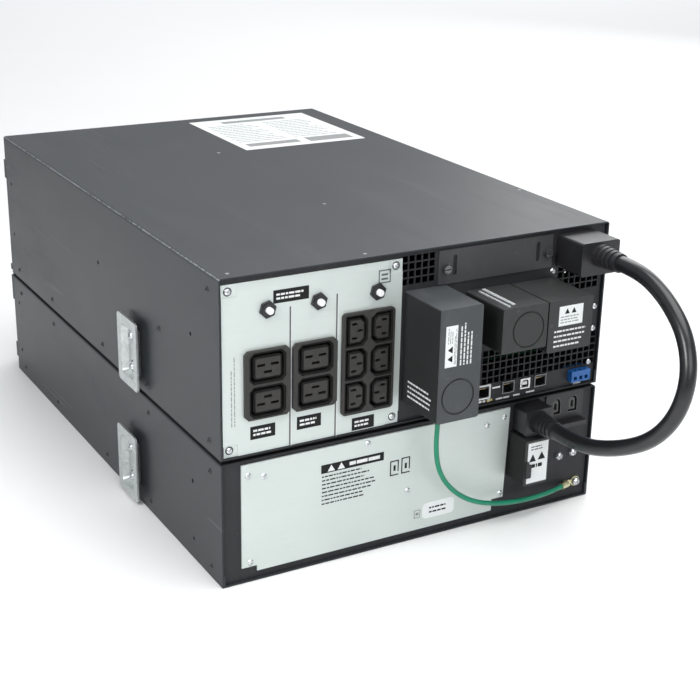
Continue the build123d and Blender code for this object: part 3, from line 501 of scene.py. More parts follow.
def set_out(name, body, steps, sizes, material, places):
    """Runs a tree over places, given as (point, aim), and keeps the result as one plain mesh."""
    seeds = bpy.data.meshes.new(name + "_places")
    seeds.from_pydata([point for point, aim in places], [], [])
    aims = seeds.attributes.new("aim", "FLOAT_VECTOR", "POINT")
    for index, (point, aim) in enumerate(places):
        aims.data[index].vector = aim
    holder = bpy.data.objects.new(name, seeds)
    bpy.context.collection.objects.link(holder)
    run = holder.modifiers.new(name, "NODES")
    run.node_group = steps.tree
    for item in steps.face.items_tree:
        if item.name in sizes:
            run[item.identifier] = sizes[item.name]
        if item.name == "Finish":
            run[item.identifier] = material
    shown = holder.evaluated_get(bpy.context.evaluated_depsgraph_get())
    plain = bpy.data.meshes.new_from_object(shown)
    holder.modifiers.clear()
    holder.data = plain
    if not plain.materials:
        plain.materials.append(material)
    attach(holder, body)
    return holder


# A head is a squashed ball, sunk to its middle, with two crossed slots or a six-sided hole.
head_sizes = {"Radius": 0.0032, "Height": 0.0019, "Recess": 0.0012, "Slot": 0.0008}


def head(name, hexagon):
    steps = Steps(name, head_sizes)
    radius, height = steps.size("Radius"), steps.size("Height")
    ball = steps.add("GeometryNodeMeshUVSphere", {}, {"Segments": 24, "Rings": 12, "Radius": 1.0})
    dome = steps.add("GeometryNodeTransform", {}, {"Geometry": ball,
        "Scale": steps.vector(radius, radius, height)})
    lift = steps.vector(0.0, 0.0, height)
    deep = steps.times(steps.size("Recess"), 2.0)
    if hexagon:
        cutter = [steps.add("GeometryNodeMeshCylinder", {}, {"Vertices": 6,
            "Radius": steps.times(radius, 0.48), "Depth": deep})]
    else:
        wide = steps.times(radius, 1.15)
        cutter = [steps.add("GeometryNodeMeshCube", {}, {"Size": steps.vector(wide, steps.size("Slot"),
            deep)}),
                  steps.add("GeometryNodeMeshCube", {}, {"Size": steps.vector(steps.size("Slot"), wide,
                      deep)})]
    if len(cutter) > 1:
        cutter = [steps.add("GeometryNodeMeshBoolean", {"operation": "UNION"}, {"Mesh 2": cutter})]
    raised = steps.add("GeometryNodeTransform", {}, {"Geometry": cutter[0], "Translation": lift})
    cut = steps.add("GeometryNodeMeshBoolean", {"operation": "DIFFERENCE"},
        {"Mesh 1": dome, "Mesh 2": raised})
    steps.stand(cut)
    return steps


cross_head = head("cross_head", False)
hex_head = head("hex_head", True)
to_rear = (0, 1, 0)
small = [(back(x, z, -2.3), to_rear) for x, z in ((-206.5, 292.5), (-34, 293), (-206.5, 140), (-33.5, 140))]
small += [(back(x, z, -1.5), to_rear) for x, z in (
    (-188, 111), (-172, 107), (-186, 19.5), (-60, 117), (80, 108), (101, 113), (-13, 56), (101, 27))]
small += [(back(x, z, -3.0), to_rear) for x, z in ((206, 155), (208, 216), (208, 192), (159, 61),
    (150.5, 262))]
panel_heads = set_out("panel_screw_heads", "chassis", cross_head, head_sizes, bright_screw, small)
# The bracket screws, two rear screws and the ground stud are drawn taller than they are modelled,
# so that they show.
large = [(back(x, z, -3.0), to_rear) for x, z in ((176, 53), (194, 54))] + [(back(200, 19, -1.2), to_rear)]
for from_rear, middle in ((207, 170), (219, 41)):
    for side in (-1, 1):
        large += [(Vector((side * 0.218, rear_edge - from_rear / 1000, (middle + step) / 1000)),
            (side, 0, 0)) for step in (-17, 17)]
set_out("bracket_screw_heads", "chassis", cross_head,
        {"Radius": 0.0048, "Height": 0.0052, "Recess": 0.0022, "Slot": 0.0013}, bright_screw, large)
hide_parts("panel_screws")
black_screw = finish("black_screw", coat_recipe((0.012, 0.012, 0.013), (0.03, 0.03, 0.032), 0.30))
rows = ((12, (25, 177, 306, 475, 602)), (112, (25, 177, 475, 602)), (143, (25, 177, 306, 475, 602)),
    (215, (141,)), (290, (24,)))
dark = [(Vector((side * 0.216, rear_edge - distance / 1000, z / 1000)), (side, 0, 0))
        for side in (-1, 1) for z, distances in rows for distance in distances]
case_heads = set_out("case_screw_heads", "chassis", hex_head,
                     {"Radius": 0.003, "Height": 0.0012, "Recess": 0.0008}, black_screw, dark)
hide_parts("case_screws")


# ---- Side brackets -------------------------------------------------------------------------------
# Galvanised steel plates that stand off the modules' sides to tie them to the rack. A pocket
# pressed in each one reaches the side and takes two screws.
def galvanised_recipe(wire):
    place = spot(wire)
    spangle = wire.node("TexVoronoi", {}, {"Vector": place, "Scale": 260.0}, "Color")
    grey = wire.node("RGBToBW", {}, {"Color": spangle})
    stain = noise(wire, place, 45, 5, 0.65)
    colour = mixed(wire, grey, (0.46, 0.49, 0.48), (0.66, 0.69, 0.68))
    return {
        "Base Color": mixed(wire, stain * 0.35, colour, (0.30, 0.32, 0.32)),
        "Roughness": 0.30 + grey * 0.15 + stain * 0.12,
        "Normal": bump(wire, grey + noise(wire, place, 800, 2), 0.00006, 0.4),
    }


galvanised = finish("galvanised_steel", galvanised_recipe, Metallic=0.8)
wear("side_brackets", galvanised)

# ---- Terminals, plugs and connectors -----------------------------------------------------------
# Rubber-moulded plugs, and a blue pluggable terminal for the remote power-off wires.
plug_rubber = finish("plug_rubber", moulded_recipe((0.010, 0.010, 0.011), (0.022, 0.022, 0.025), 0.30, 600,
    0.00015))
wear("power_plug", plug_rubber)
wear("battery_plug", plug_rubber)
wear("epo_plug", finish("terminal_blue", moulded_recipe((0.006, 0.075, 0.26), (0.012, 0.12, 0.40), 0.34)))

# ---- Printing and labels --------------------------------------------------------------------------
# Vinyl labels stuck on the covers and plates, and marks screen-printed on the steel. Rows of
# plain bars stand for their lines of print.
def behind_place(across, up, out):
    return back(across, up, out)


def slabs(name, body, material, place, boxes, low, high):
    """Thin printed or stuck-on rectangles: boxes are (left, bottom, right, top) in millimetres."""
    mesh = bmesh.new()
    for left, bottom, right, top in boxes:
        corners = [(left, bottom), (right, bottom), (right, top), (left, top)]
        under = [mesh.verts.new(place(a, b, low)) for a, b in corners]
        over = [mesh.verts.new(place(a, b, high)) for a, b in corners]
        mesh.faces.new(under)
        mesh.faces.new(over)
        for near in range(4):
            far = (near + 1) % 4
            mesh.faces.new((under[near], under[far], over[far], over[near]))
    bmesh.ops.recalc_face_normals(mesh, faces=mesh.faces)
    return mesh_object(name, body, material, mesh)


def mesh_object(name, body, material, mesh):
    data = bpy.data.meshes.new(name)
    mesh.to_mesh(data)
    mesh.free()
    data.materials.append(material)
    made = bpy.data.objects.new(name, data)
    bpy.context.collection.objects.link(made)
    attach(made, body)
    return made


def outlines(name, body, material, place, shapes, low, high):
    """Flat shapes with any outline, given as lists of points in millimetres."""
    mesh = bmesh.new()
    for shape in shapes:
        under = [mesh.verts.new(place(a, b, low)) for a, b in shape]
        over = [mesh.verts.new(place(a, b, high)) for a, b in shape]
        mesh.faces.new(under)
        mesh.faces.new(over)
        for near in range(len(shape)):
            far = (near + 1) % len(shape)
            mesh.faces.new((under[near], under[far], over[far], over[near]))
    bmesh.ops.recalc_face_normals(mesh, faces=mesh.faces)
    return mesh_object(name, body, material, mesh)


def print_rows(left, bottom, right, top, rows, seed, fill=0.55, upright=False):
    """Rows of bars as long as words, which stand for lines of print."""
    chance = random.Random(seed)
    bars = []
    length, breadth = (top - bottom, right - left) if upright else (right - left, top - bottom)
    pitch = breadth / rows
    for row in range(rows):
        at = 0.0
        end = length * chance.uniform(0.72, 1.0)
        while at < end:
            word = min(end - at, chance.uniform(1.6, 6.0))
            if word > 0.6:
                across = row * pitch + pitch * (1 - fill) / 2
                if upright:
                    bars.append((left + across, bottom + at, left + across + pitch * fill,
                        bottom + at + word))
                else:
                    bars.append((left + at, top - across - pitch * fill, left + at + word, top - across))
            at += word + 0.9
    return bars


def ink_recipe(low, high, shine):
    def recipe(wire):
        place = spot(wire)
        worn = noise(wire, place, 420, 3, 0.7)
        return {
            "Base Color": mixed(wire, worn, low, high),
            "Roughness": shine + worn * 0.15,
            "Normal": bump(wire, worn, 0.00002, 0.3),
        }

    return recipe


white_ink_and_highlight = finish("white_ink_and_highlight", ink_recipe((0.55, 0.56, 0.56), (0.82, 0.83, 0.83), 0.45))
black_ink = finish("black_ink", ink_recipe((0.006, 0.006, 0.006), (0.018, 0.018, 0.018), 0.45),
    Specular_IOR_Level=0.15)
grey_ink = finish("grey_ink", ink_recipe((0.16, 0.17, 0.17), (0.30, 0.31, 0.31), 0.45))
label_vinyl = finish("label_vinyl", ink_recipe((0.66, 0.68, 0.68), (0.80, 0.82, 0.82), 0.38))

panel_face = -1.5
# Black blocks with two rows of white print, over the breakers and under each outlet group.
blocks = ((-162, 275, -126, 287.5), (-185.5, 146.5, -160, 159.5), (-137.5, 147, -112, 160),
    (-78.5, 134, -54, 147))
slabs("group_label_blocks", "chassis", black_ink, behind_place, blocks, panel_face, panel_face + 0.12)
bars = []
for order, (left, bottom, right, top) in enumerate(blocks):
    bars += print_rows(left + 3, bottom + 2.5, right - 2, top - 2.5, 2, 10 + order, 0.5)
slabs("group_label_print", "chassis", white_ink_and_highlight, behind_place, bars, panel_face + 0.12, panel_face + 0.18)
# Dark lines that divide the outlet groups, each with a white strip of painted highlight beside it, a small
# framed mark and the column of fine print.
lines = [(-145.6, 131.5, -144.0, 270), (-97.5, 131.5, -95.9, 275)]
for left, bottom, right, top in ((-53, 278, -40, 291),):
    lines += [(left, bottom, right, bottom + 1.1), (left, top - 1.1, right, top),
        (left, bottom, left + 1.1, top),
              (right - 1.1, bottom, right, top), (left + 3, bottom + 3.2, right - 3, bottom + 5),
              (left + 3, bottom + 7.4, right - 3, bottom + 9.2)]
slabs("outlet_panel_lines", "chassis", finish("dark_line", ink_recipe((0.06, 0.065, 0.065),
    (0.11, 0.115, 0.115), 0.45)),
      behind_place, lines, panel_face, panel_face + 0.1)
# Painted highlight: white strips beside the dividing lines.
slabs("outlet_panel_line_highlights", "chassis", white_ink_and_highlight, behind_place,
      [(-144.0, 131.5, -143.2, 270), (-95.9, 131.5, -95.1, 275)], panel_face, panel_face + 0.1)
slabs("outlet_panel_fine_print", "chassis", grey_ink, behind_place,
      print_rows(-205.5, 163, -199.5, 236, 2, 21, 0.32, True), panel_face, panel_face + 0.06)

# The lower plate's notice: a black header band over eight rows of print, a framed mark, a small
# mark and a rounded white sticker with two rows.
plate_face = -1.5
slabs("plate_notice_band", "chassis", black_ink, behind_place, [(-111, 95.5, -41.5, 104.5)], plate_face,
    plate_face + 0.1)
outlines("plate_notice_signs", "chassis", white_ink_and_highlight, behind_place,
         [[(-104, 96.7), (-96, 96.7), (-100, 103.3)], [(-93, 96.7), (-85, 96.7), (-89, 103.3)]],
         plate_face + 0.1, plate_face + 0.16)
slabs("plate_notice_title", "chassis", white_ink_and_highlight, behind_place,
      [(-80, 98.2, -73, 101.8), (-72, 98.2, -60, 101.8), (-58.8, 98.2, -46,
          101.8)], plate_face + 0.1, plate_face + 0.16)
notice = print_rows(-110, 61, -50, 94, 8, 31, 0.34)
slabs("plate_notice_print", "chassis", black_ink, behind_place, notice, plate_face, plate_face + 0.06)
mark = [(-34, 76, -32.7, 92), (-34, 91, -24, 92.3), (-34, 76, -24, 77.3), (-25.3, 80, -24, 92),
    (-21, 76, -19.7, 93),
        (-21, 92, -11, 93.3), (-21, 76, -11, 77.3), (-12.3, 80, -11, 93), (-30, 81, -27.5, 87), (-17, 81,
            -14.5, 87)]
slabs("plate_framed_mark", "chassis", black_ink, behind_place, mark, plate_face, plate_face + 0.06)
slabs("plate_small_mark", "chassis", grey_ink, behind_place,
      [(-4, 22, -3.2, 31), (-4, 30.2, 3.5, 31), (2.7, 22, 3.5, 31), (-4, 22, 3.5, 22.8), (-2, 25, 1.5, 28)],
      plate_face, plate_face + 0.06)
oval = [(x + 4.5 * cos(turn * pi / 8), z + 4.5 * sin(turn * pi / 8))
        for x, z, first in ((39.5, 32, 0), (10.5, 32, 4), (10.5, 23.5, 8),
            (39.5, 23.5, 12)) for turn in range(first, first + 5)]
outlines("plate_sticker", "chassis", label_vinyl, behind_place, [oval], plate_face, plate_face + 0.12)
slabs("plate_sticker_print", "chassis", black_ink, behind_place, print_rows(14, 23, 38, 32.5, 2, 41, 0.38),
      plate_face + 0.12, plate_face + 0.17)

# Labels on the input, bypass and service covers, with two sign triangles each.
cover_face = 60.0
slabs("input_label", "chassis", label_vinyl, behind_place, [(-16.5, 209, -3.5, 249.5)], cover_face,
    cover_face + 0.12)
outlines("input_label_signs", "chassis", black_ink, behind_place,
         [[(-8.5, 213.5), (-8.5, 220.5), (-14, 217)], [(-8.5, 222.5), (-8.5, 229.5), (-14, 226)]],
         cover_face + 0.12, cover_face + 0.17)
slabs("input_label_print", "chassis", grey_ink, behind_place, print_rows(-7, 211, -4.2, 248, 2, 51, 0.5,
    True)
      + print_rows(-14.5, 232, -8, 247, 3, 52, 0.4, True), cover_face + 0.12, cover_face + 0.17)
slabs("input_cover_print", "chassis", white_ink_and_highlight, behind_place, print_rows(-1, 209, 14, 252, 4, 53, 0.40,
    True),
      cover_face, cover_face + 0.06)
slabs("bypass_label", "chassis", label_vinyl, behind_place, [(112.5, 229, 141, 249)], cover_face,
    cover_face + 0.12)
outlines("bypass_label_signs", "chassis", black_ink, behind_place,
         [[(119, 241), (125, 241), (122, 246.5)], [(127, 241), (133, 241),
             (130, 246.5)]], cover_face + 0.12, cover_face + 0.17)
slabs("bypass_label_print", "chassis", grey_ink, behind_place, print_rows(114.5, 231, 139.5, 239.5, 3, 61,
    0.4),
      cover_face + 0.12, cover_face + 0.17)
slabs("bypass_cover_print", "chassis", white_ink_and_highlight, behind_place, print_rows(108, 206.5, 146, 226.5, 4, 62,
    0.36),
      cover_face, cover_face + 0.06)
service_face = 27.0
slabs("service_label", "chassis", label_vinyl, behind_place, [(112.5, 47, 137.5, 92)], service_face,
    service_face + 0.12)
outlines("service_label_signs", "chassis", black_ink, behind_place,
         [[(114.5, 71), (123, 71), (118.7, 79.5)], [(125, 72), (134.5, 72), (129.8, 80.5)]],
         service_face + 0.12, service_face + 0.17)
slabs("service_label_print", "chassis", black_ink, behind_place, print_rows(118, 63.5, 134, 68.5, 1, 71,
    0.8)
      + print_rows(116, 83, 134, 89, 2, 72, 0.35), service_face + 0.12, service_face + 0.17)
slabs("service_cover_latch", "chassis", finish("latch_black", moulded_recipe((0.008, 0.008, 0.009),
    (0.016, 0.016, 0.017), 0.4)),
      behind_place, [(110.2, 54, 116.5, 68.5), (110.2, 68.5, 113.5,
          72)], service_face + 0.12, service_face + 2.2)

# White print beside the communication sockets.
captions = [(66.5, 133.6, 72.5, 135.8), (74, 133.6, 77, 135.8), (79.5, 133.2, 82.5, 136.2),
    (85, 146.5, 94.5, 148.2),
            (90, 133.4, 98, 135.2), (99, 133.4, 106.5, 135.2), (111.5, 133.6, 119.5, 135.4), (127.5, 134,
                138, 135.8),
            (188, 131.6, 197.5, 134.4)]
slabs("socket_captions", "chassis", white_ink_and_highlight, behind_place, captions, -3.0, -2.94)


def left_wall_place(out, up, proud):
    """A point on the input cover's left wall."""
    return back(-23.0 - proud, up, out)


slabs("input_cover_side_print", "chassis", white_ink_and_highlight, left_wall_place,
    print_rows(8, 161, 50, 181, 4, 81, 0.36), 0.0, 0.06)


def top_place(across, from_rear, proud):
    return Vector((-across / 1000, rear_edge - from_rear / 1000, 0.306 + proud / 1000))


slabs("top_label", "chassis", label_vinyl, top_place, [(22, 440, 186, 613)], 0.0, 0.12)
slabs("top_label_bands", "chassis", grey_ink, top_place, [(34, 455, 104, 470), (116, 452, 176, 474),
    (60, 588, 150, 600)], 0.12, 0.17)
slabs("top_label_print", "chassis", grey_ink, top_place, print_rows(32, 478, 100, 580, 11, 91, 0.30)
      + print_rows(110, 480, 178, 580, 11, 92, 0.30), 0.12, 0.17)

# ---- Small details of the rear --------------------------------------------------------------------
# Sprung gold contacts and steel shields in the data jacks, the USB socket's tongue, the ribs on
# the output cover, coloured light as painted highlight, and a near-black strip of painted shade in the gap
# between the modules.
shield = [(66.2, 137.6, 81.8, 139.2), (66.2, 151.4, 81.8, 153.0), (66.2, 139.2, 67.8, 151.4),
    (80.2, 139.2, 81.8, 151.4)]
slabs("network_jack_shield", "chassis", finish("jack_shield", ink_recipe((0.62, 0.64, 0.64),
    (0.80, 0.82, 0.82), 0.22), Metallic=0.6),
      behind_place, shield, -2.9, -1.2)
rims = []
for x in (104, 144):
    rims += [(x - 7.4, 151.2, x + 7.4, 151.9), (x - 7.4, 139.1, x + 7.4, 139.8),
        (x - 7.4, 139.8, x - 6.7, 151.2), (x + 6.7, 139.8, x + 7.4, 151.2)]
slabs("serial_jack_rims", "chassis", grey_ink, behind_place, rims, -2.1, -1.7)
gold = finish("gold_contacts", brass_recipe, Metallic=1.0)
contacts = [(x + step * 1.02 - 0.25, 147.2, x + step * 1.02 + 0.25, 148.9) for x in (74, 104, 144)
            for step in (-3.5, -2.5, -1.5, -0.5, 0.5, 1.5, 2.5, 3.5)]
slabs("jack_contacts", "chassis", gold, behind_place, contacts, -13.5, -5.0)
slabs("jack_lights", "chassis", finish("jack_light", ink_recipe((0.55, 0.45, 0.12), (0.75, 0.62, 0.2),
    0.2)), behind_place,
      [(79.0, 133.2, 81.0, 135.4), (83.2, 133.8, 85.2, 136.0)], -3.0, -2.7)
slabs("usb_insert", "chassis", black_plastic, behind_place, [(121.0, 141.9, 129.0, 149.0)], -12.1, -11.9)
slabs("usb_tongue", "chassis", button_white, behind_place, [(122.1, 143.8, 127.9, 147.2)], -12.0, -3.1)
slabs("usb_shield", "chassis", finish("usb_shield", ink_recipe((0.60, 0.61, 0.61), (0.76, 0.77, 0.77),
    0.25), Metallic=0.6),
      behind_place, [(119.0, 140.0, 131.0, 141.4), (119.0, 149.6, 131.0, 151.0),
          (119.0, 141.4, 120.5, 149.6), (129.5, 141.4, 131.0, 149.6)], -2.3, -1.8)


def output_top_place(across, out, proud):
    return back(across, 256.0 + proud, out)


# Painted highlight: the raised ribs are coloured light grey to stand for the highlight along them.
slabs("output_cover_ribs", "chassis", finish("rib_painted_highlight", ink_recipe((0.30, 0.31, 0.32), (0.62, 0.64, 0.65),
    0.30)),
      output_top_place, [(56.0, 5.0, 58.0, 56.0), (62.5, 1.0, 66.0, 52.0)], 0.0, 0.9)


def seam_place(across, along, height):
    return Vector((across / 1000, along / 1000, height / 1000))


# Painted shade: a near-black strip set into the gap between the modules, standing for the shade in the gap.
seam_gap_shade = finish("seam_gap_shade_strip", moulded_recipe((0.004, 0.004, 0.004), (0.010, 0.010, 0.010), 0.8, 400, 0.0004))
slabs("module_seam_shade_strip", "chassis", seam_gap_shade, seam_place,
      [(-213.5, -325, -207, 299.5), (207, -325, 213.5, 299.5), (-207, 293, 207, 299.5),
          (-207, -325, 207, -318)], 128.05, 130.95)
dimple = finish("dimple_paint", coat_recipe((0.20, 0.21, 0.22), (0.34, 0.35, 0.36), 0.30))
set_out("top_rivets", "chassis", hex_head, {"Radius": 0.0019, "Height": 0.0006, "Recess": 0.0002}, dimple,
        [(top_place(x, y, 0), (0, 0, 1)) for x, y in ((-14, 442), (-12, 183), (208, 144), (-202, 12),
            (-63, 11))])

# ---- Rims of the openings ---------------------------------------------------------------------------
# Near-black bands around each outlet mouth and around the island inside it are painted shade in the
# grooves, the spare link sockets have a sleeve in each arch, and the cable knockouts a ring of painted
# shade.
def bands(name, body, material, place, pairs, low, high):
    """Flat rings between two outlines with the same number of points, in millimetres."""
    mesh = bmesh.new()
    for outer, inner in pairs:
        rings = [[mesh.verts.new(place(a, b, level)) for a, b in edge] for edge in (outer,
            inner) for level in (low, high)]
        count = len(outer)
        for near in range(count):
            far = (near + 1) % count
            for one, two in ((0, 1), (1, 3), (3, 2), (2, 0)):
                mesh.faces.new((rings[one][near], rings[one][far], rings[two][far], rings[two][near]))
    bmesh.ops.recalc_face_normals(mesh, faces=mesh.faces)
    return mesh_object(name, body, material, mesh)


def cut_box(middle, size, cuts):
    """An upright box with its corners cut, anticlockwise from the lower left."""
    across, up = size[0] / 2, size[1] / 2
    points = []
    for (left, down), cut in zip(((-1, -1), (1, -1), (1, 1), (-1, 1)), cuts):
        turned = [(left * (across - cut), down * up), (left * across, down * (up - cut))]
        points += turned if left * down < 0 else turned[::-1]
    return [(middle[0] + a, middle[1] + b) for a, b in points]


groove_shade_rings = []
for x in (-169.0, -120.0):
    for z in (217.0, 184.0):
        groove_shade_rings.append((cut_box((x, z), (37.0, 30.5), [4.2] * 4), cut_box((x, z), (34.1, 27.6), [3.5] * 4)))
        groove_shade_rings.append((cut_box((x, z), (27.9, 21.4), [1.6] * 4), cut_box((x, z), (25.4, 18.9), [1.2] * 4)))
for side in (-1, 1):
    for row in (-1, 0, 1):
        middle = (-63.5 + side * 13.5, 203.5 + row * 33.0)
        for size, cut in (((23.7, 31.2), 5.6), ((16.4, 23.9), 4.0)):
            cuts = (0.5, cut, cut, 0.5) if side < 0 else (cut, 0.5, 0.5, cut)
            less = (2.1, 2.1)
            groove_shade_rings.append((cut_box(middle, size, cuts), cut_box(middle,
                (size[0] - less[0], size[1] - less[1]), [max(c - 0.6, 0.4) for c in cuts])))
# Painted shade: near-black bands that stand for the shade in the outlets' grooves.
groove_shade_black = finish("outlet_groove_shade", moulded_recipe((0.004, 0.004, 0.004), (0.008, 0.008, 0.008), 0.55, 600,
    0.0003), Specular_IOR_Level=0.1)
bands("outlet_groove_shade_rings", "chassis", groove_shade_black, behind_place, groove_shade_rings, 2.0, 2.12)


def arch(middle, width, height):
    radius = width / 2 - 0.2
    sides = [(-width / 2, -height / 2), (width / 2, -height / 2)]
    top = [(radius * cos(turn * pi / 8),
        height / 2 - radius + radius * sin(turn * pi / 8)) for turn in range(9)]
    return [(middle[0] + a, middle[1] + b) for a, b in sides + top]


sleeve = finish("socket_sleeve", moulded_recipe((0.05, 0.05, 0.05), (0.08, 0.08, 0.08), 0.38, 600, 0.0003))
bands("link_socket_sleeves", "chassis", sleeve, behind_place,
      [(arch((x, 112), 8.0, 13.6), arch((x, 111.4), 3.4, 8.0)) for x in (166.5, 188.0)], -22.9, -2.2)
bands("link_socket_rims", "chassis", sleeve, behind_place,
      [(arch((x, 112), 12.6, 18.8), arch((x, 112), 11.1, 17.1)) for x in (166.5, 188.0)], -1.0, -0.8)


def circle(middle, radius):
    return [(middle[0] + radius * cos(turn * pi / 24),
        middle[1] + radius * sin(turn * pi / 24)) for turn in range(48)]


# Flat dark rings that stand for washers and for painted shade around the screws, under the bracket screws
# and around the tab screws.
washer_and_screw_shade = finish("washer_and_screw_shade", coat_recipe((0.035, 0.038, 0.038), (0.09, 0.095, 0.095), 0.35),
    Metallic=0.5)
for side, word in ((-1, "right"), (1, "left")):
    def side_place(along, up, out):
        return Vector((side * out / 1000, along / 1000, up / 1000))

    spots = [(rear_edge * 1000 - from_rear, middle + step) for from_rear,
        middle in ((207, 170), (219, 41)) for step in (-17, 17)]
    bands("bracket_washer_shade_rings_" + word, "chassis", washer_and_screw_shade, side_place,
          [(circle(middle, 6.6), circle(middle, 4.2)) for middle in spots], 218.0, 218.9)
bands("tab_washer_shade_rings", "chassis", washer_and_screw_shade, behind_place,
      [(circle(middle, 4.1), circle(middle, 3.0)) for middle in ((-206.5, 292.5), (-34, 293),
          (-206.5, 140), (-33.5, 140))],
      -2.3, -2.1)
# Painted shade: dark rings over the knockouts' pressed grooves, standing for the shade in them.
knockout_shade = finish("knockout_groove_shade", ink_recipe((0.006, 0.006, 0.006), (0.014, 0.014, 0.014), 0.5))
bands("knockout_shade_rings", "chassis", knockout_shade, behind_place,
      [(circle(middle, 18.4), circle(middle, 18.0)) for middle in ((-0.5, 178), (77, 232))]
      + [(circle(middle, 17.1), circle(middle, 16.5)) for middle in ((-0.5, 178), (77, 232))], 60.0, 60.05)

# ---- Inside ----------------------------------------------------------------------------------------
# Trays of sealed batteries below, and the power board, heat sinks, coils and capacitors above.
wear("battery_tray_left", galvanised)
wear("battery_tray_right", galvanised)
battery_case = finish("battery_case", moulded_recipe((0.05, 0.05, 0.055), (0.08, 0.08, 0.085), 0.45, 500,
    0.0002))
wear("batteries_left", battery_case)
wear("batteries_right", battery_case)
# Each battery has a glued lid, a sticker and two spade terminals on moulded feet.
terminal_sizes = {"Foot": 0.0042, "Rise": 0.002, "Width": 0.0063, "Thickness": 0.0008, "Height": 0.0065}
terminal = Steps("spade_terminal", terminal_sizes)
foot = terminal.add("GeometryNodeMeshCylinder", {}, {"Vertices": 20, "Radius": terminal.size("Foot"),
    "Depth": terminal.size("Rise")})
blade_size = terminal.vector(terminal.size("Width"), terminal.size("Thickness"), terminal.size("Height"))
blade = terminal.add("GeometryNodeMeshCube", {}, {"Size": blade_size})
lifted = terminal.add("GeometryNodeTransform", {}, {"Geometry": blade, "Translation": terminal.vector(
    0.0, 0.0, terminal.times(terminal.size("Height"), 0.5))})
terminal.stand(terminal.add("GeometryNodeMeshBoolean", {"operation": "UNION"}, {"Mesh 2": [foot, lifted]}))
lid_plastic = finish("battery_lid", moulded_recipe((0.025, 0.025, 0.028), (0.04, 0.04, 0.044), 0.4))
for side, tray in ((1, "battery_tray_left"), (-1, "battery_tray_right")):
    def lid_place(across, along, proud):
        return Vector((across / 1000, along / 1000, (97.4 + proud) / 1000))

    cells = [(side * 105 + column * 66, -11 + row * 152) for column in (-1, 0, 1) for row in (-1, 0, 1)]
    slabs(tray + "_lids", tray, lid_plastic, lid_place, [(x - 30.5, y - 73.5, x + 30.5, y + 73.5) for x,
        y in cells], 0.0, 1.2)
    slabs(tray + "_labels", tray, label_vinyl, lid_place, [(x - 22, y - 20, x + 22, y + 14) for x,
        y in cells], 1.2, 1.3)
    rows = [bar for order, (x, y) in enumerate(cells) for bar in print_rows(x - 19, y - 17, x + 19, y + 11,
        4, 120 + order, 0.4)]
    slabs(tray + "_label_print", tray, black_ink, lid_place, rows, 1.3, 1.35)
    posts = [(lid_place(x + step, y + 65, 2.0), (0, 0, 1)) for x, y in cells for step in (-22, 22)]
    set_out(tray + "_terminals", tray, terminal, terminal_sizes, finish(tray + "_tin", lug_recipe,
        Metallic=0.9), posts)
wear("power_board", finish("board_green", moulded_recipe((0.01, 0.09, 0.04), (0.02, 0.16, 0.07), 0.35,
    300)))


def aluminium_recipe(wire):
    drawn = noise(wire, spot(wire, (0, 0, 0), (60, 1, 60)), 20, 3)
    return {
        "Base Color": mixed(wire, drawn, (0.50, 0.51, 0.52), (0.68, 0.69, 0.70)),
        "Roughness": 0.30 + drawn * 0.2,
        "Normal": bump(wire, drawn, 0.00005, 0.4),
    }


wear("heat_sinks", finish("drawn_aluminium", aluminium_recipe, Metallic=1.0))
wear("inductors", finish("wound_copper", moulded_recipe((0.30, 0.11, 0.04), (0.48, 0.20, 0.08), 0.30, 240,
    0.0006)))
wear("capacitors", finish("capacitor_sleeve", moulded_recipe((0.01, 0.015, 0.03), (0.02, 0.03, 0.06),
    0.25)))

# ---- Fans --------------------------------------------------------------------------------------------
# Three 120 mm axial fans behind the power bezel, moulded in black glass-filled nylon.
wear("fan_frames", black_plastic)
rotor_plastic = finish("rotor_plastic", moulded_recipe((0.014, 0.014, 0.015), (0.026, 0.026, 0.028), 0.30))
for rotor in ("fan_rotor_left", "fan_rotor_middle", "fan_rotor_right"):
    wear(rotor, rotor_plastic)

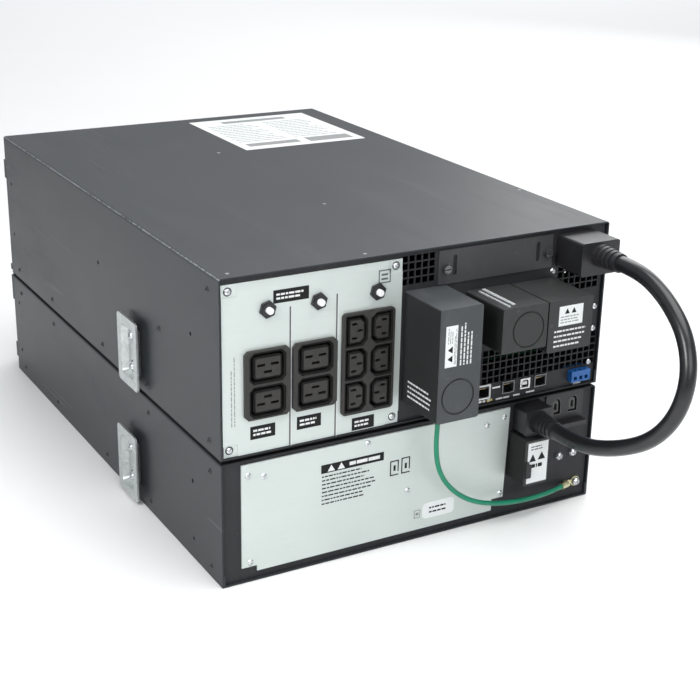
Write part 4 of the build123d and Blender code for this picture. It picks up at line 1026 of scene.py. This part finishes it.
# ---- Bezels and display ------------------------------------------------------------------------------
# Louvred bezels moulded in fine-textured black plastic and clipped over the chassis fronts. The
# upper one carries a tilting display with four keys, and the power button.
bezel_plastic = finish("bezel_plastic", moulded_recipe((0.014, 0.014, 0.015), (0.024, 0.024, 0.026), 0.42,
    1600, 0.0002))
wear("power_bezel", bezel_plastic)
wear("battery_bezel", bezel_plastic)
wear("display_housing", finish("display_plastic", moulded_recipe((0.008, 0.008, 0.009),
    (0.014, 0.014, 0.015), 0.22)))
key_plastic = finish("key_plastic", moulded_recipe((0.10, 0.105, 0.11), (0.14, 0.145, 0.15), 0.32))
for key in ("up_key", "down_key", "escape_key", "enter_key", "power_button"):
    wear(key, key_plastic)


def glass_recipe(wire):
    return {
        "Base Color": mixed(wire, noise(wire, spot(wire), 30, 2), (0.010, 0.016, 0.022),
            (0.016, 0.024, 0.032)),
        "Roughness": 0.05 + noise(wire, spot(wire), 90, 4, 0.7) * 0.08,
    }


wear("display_window", finish("display_glass", glass_recipe, Coat_Weight=1.0))

screen_low, screen_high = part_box("display_window")


def screen_place(across, up, proud):
    """A point on the display window, in millimetres from its lower left corner."""
    return Vector((screen_low.x + across / 1000, screen_low.y - proud / 1000, screen_low.z + up / 1000))


wide = (screen_high.x - screen_low.x) * 1000
tall = (screen_high.z - screen_low.z) * 1000
segments = print_rows(4, tall * 0.62, wide - 6, tall - 4, 2, 101, 0.5)
segments += [(4 + step * 3.4, 5, 6.4 + step * 3.4,
    8 + step * 0.9) for step in range(int((wide - 12) / 3.4) // 2)]
segments += [(wide * 0.62, 5, wide - 5, 7), (wide * 0.62, 10, wide - 8, 12)]
slabs("display_segments", "display", finish("display_segment", ink_recipe((0.16, 0.26, 0.32),
    (0.24, 0.36, 0.42), 0.2)),
      screen_place, segments, 0.0, 0.06)
for key, points in (("up_key", ((-1.4, -1.0), (1.4, -1.0), (0, 1.3))),
    ("down_key", ((-1.4, 1.0), (0, -1.3), (1.4, 1.0))),
                    ("escape_key", ((-1.3, -0.9), (1.3, 0.9), (0.9, 1.3), (-1.3, -0.2))), ("enter_key",
                        ((-1.2, -1.2), (1.2, -1.2), (1.2, 1.2), (-1.2, 1.2)))):
    key_low, key_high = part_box(key)

    def key_place(across, up, proud):
        return Vector(((key_low.x + key_high.x) / 2 + across / 1000, key_low.y - proud / 1000,
            (key_low.z + key_high.z) / 2 + up / 1000))

    outlines(key + "_sign", key, white_ink_and_highlight, key_place, [points], 0.0, 0.08)
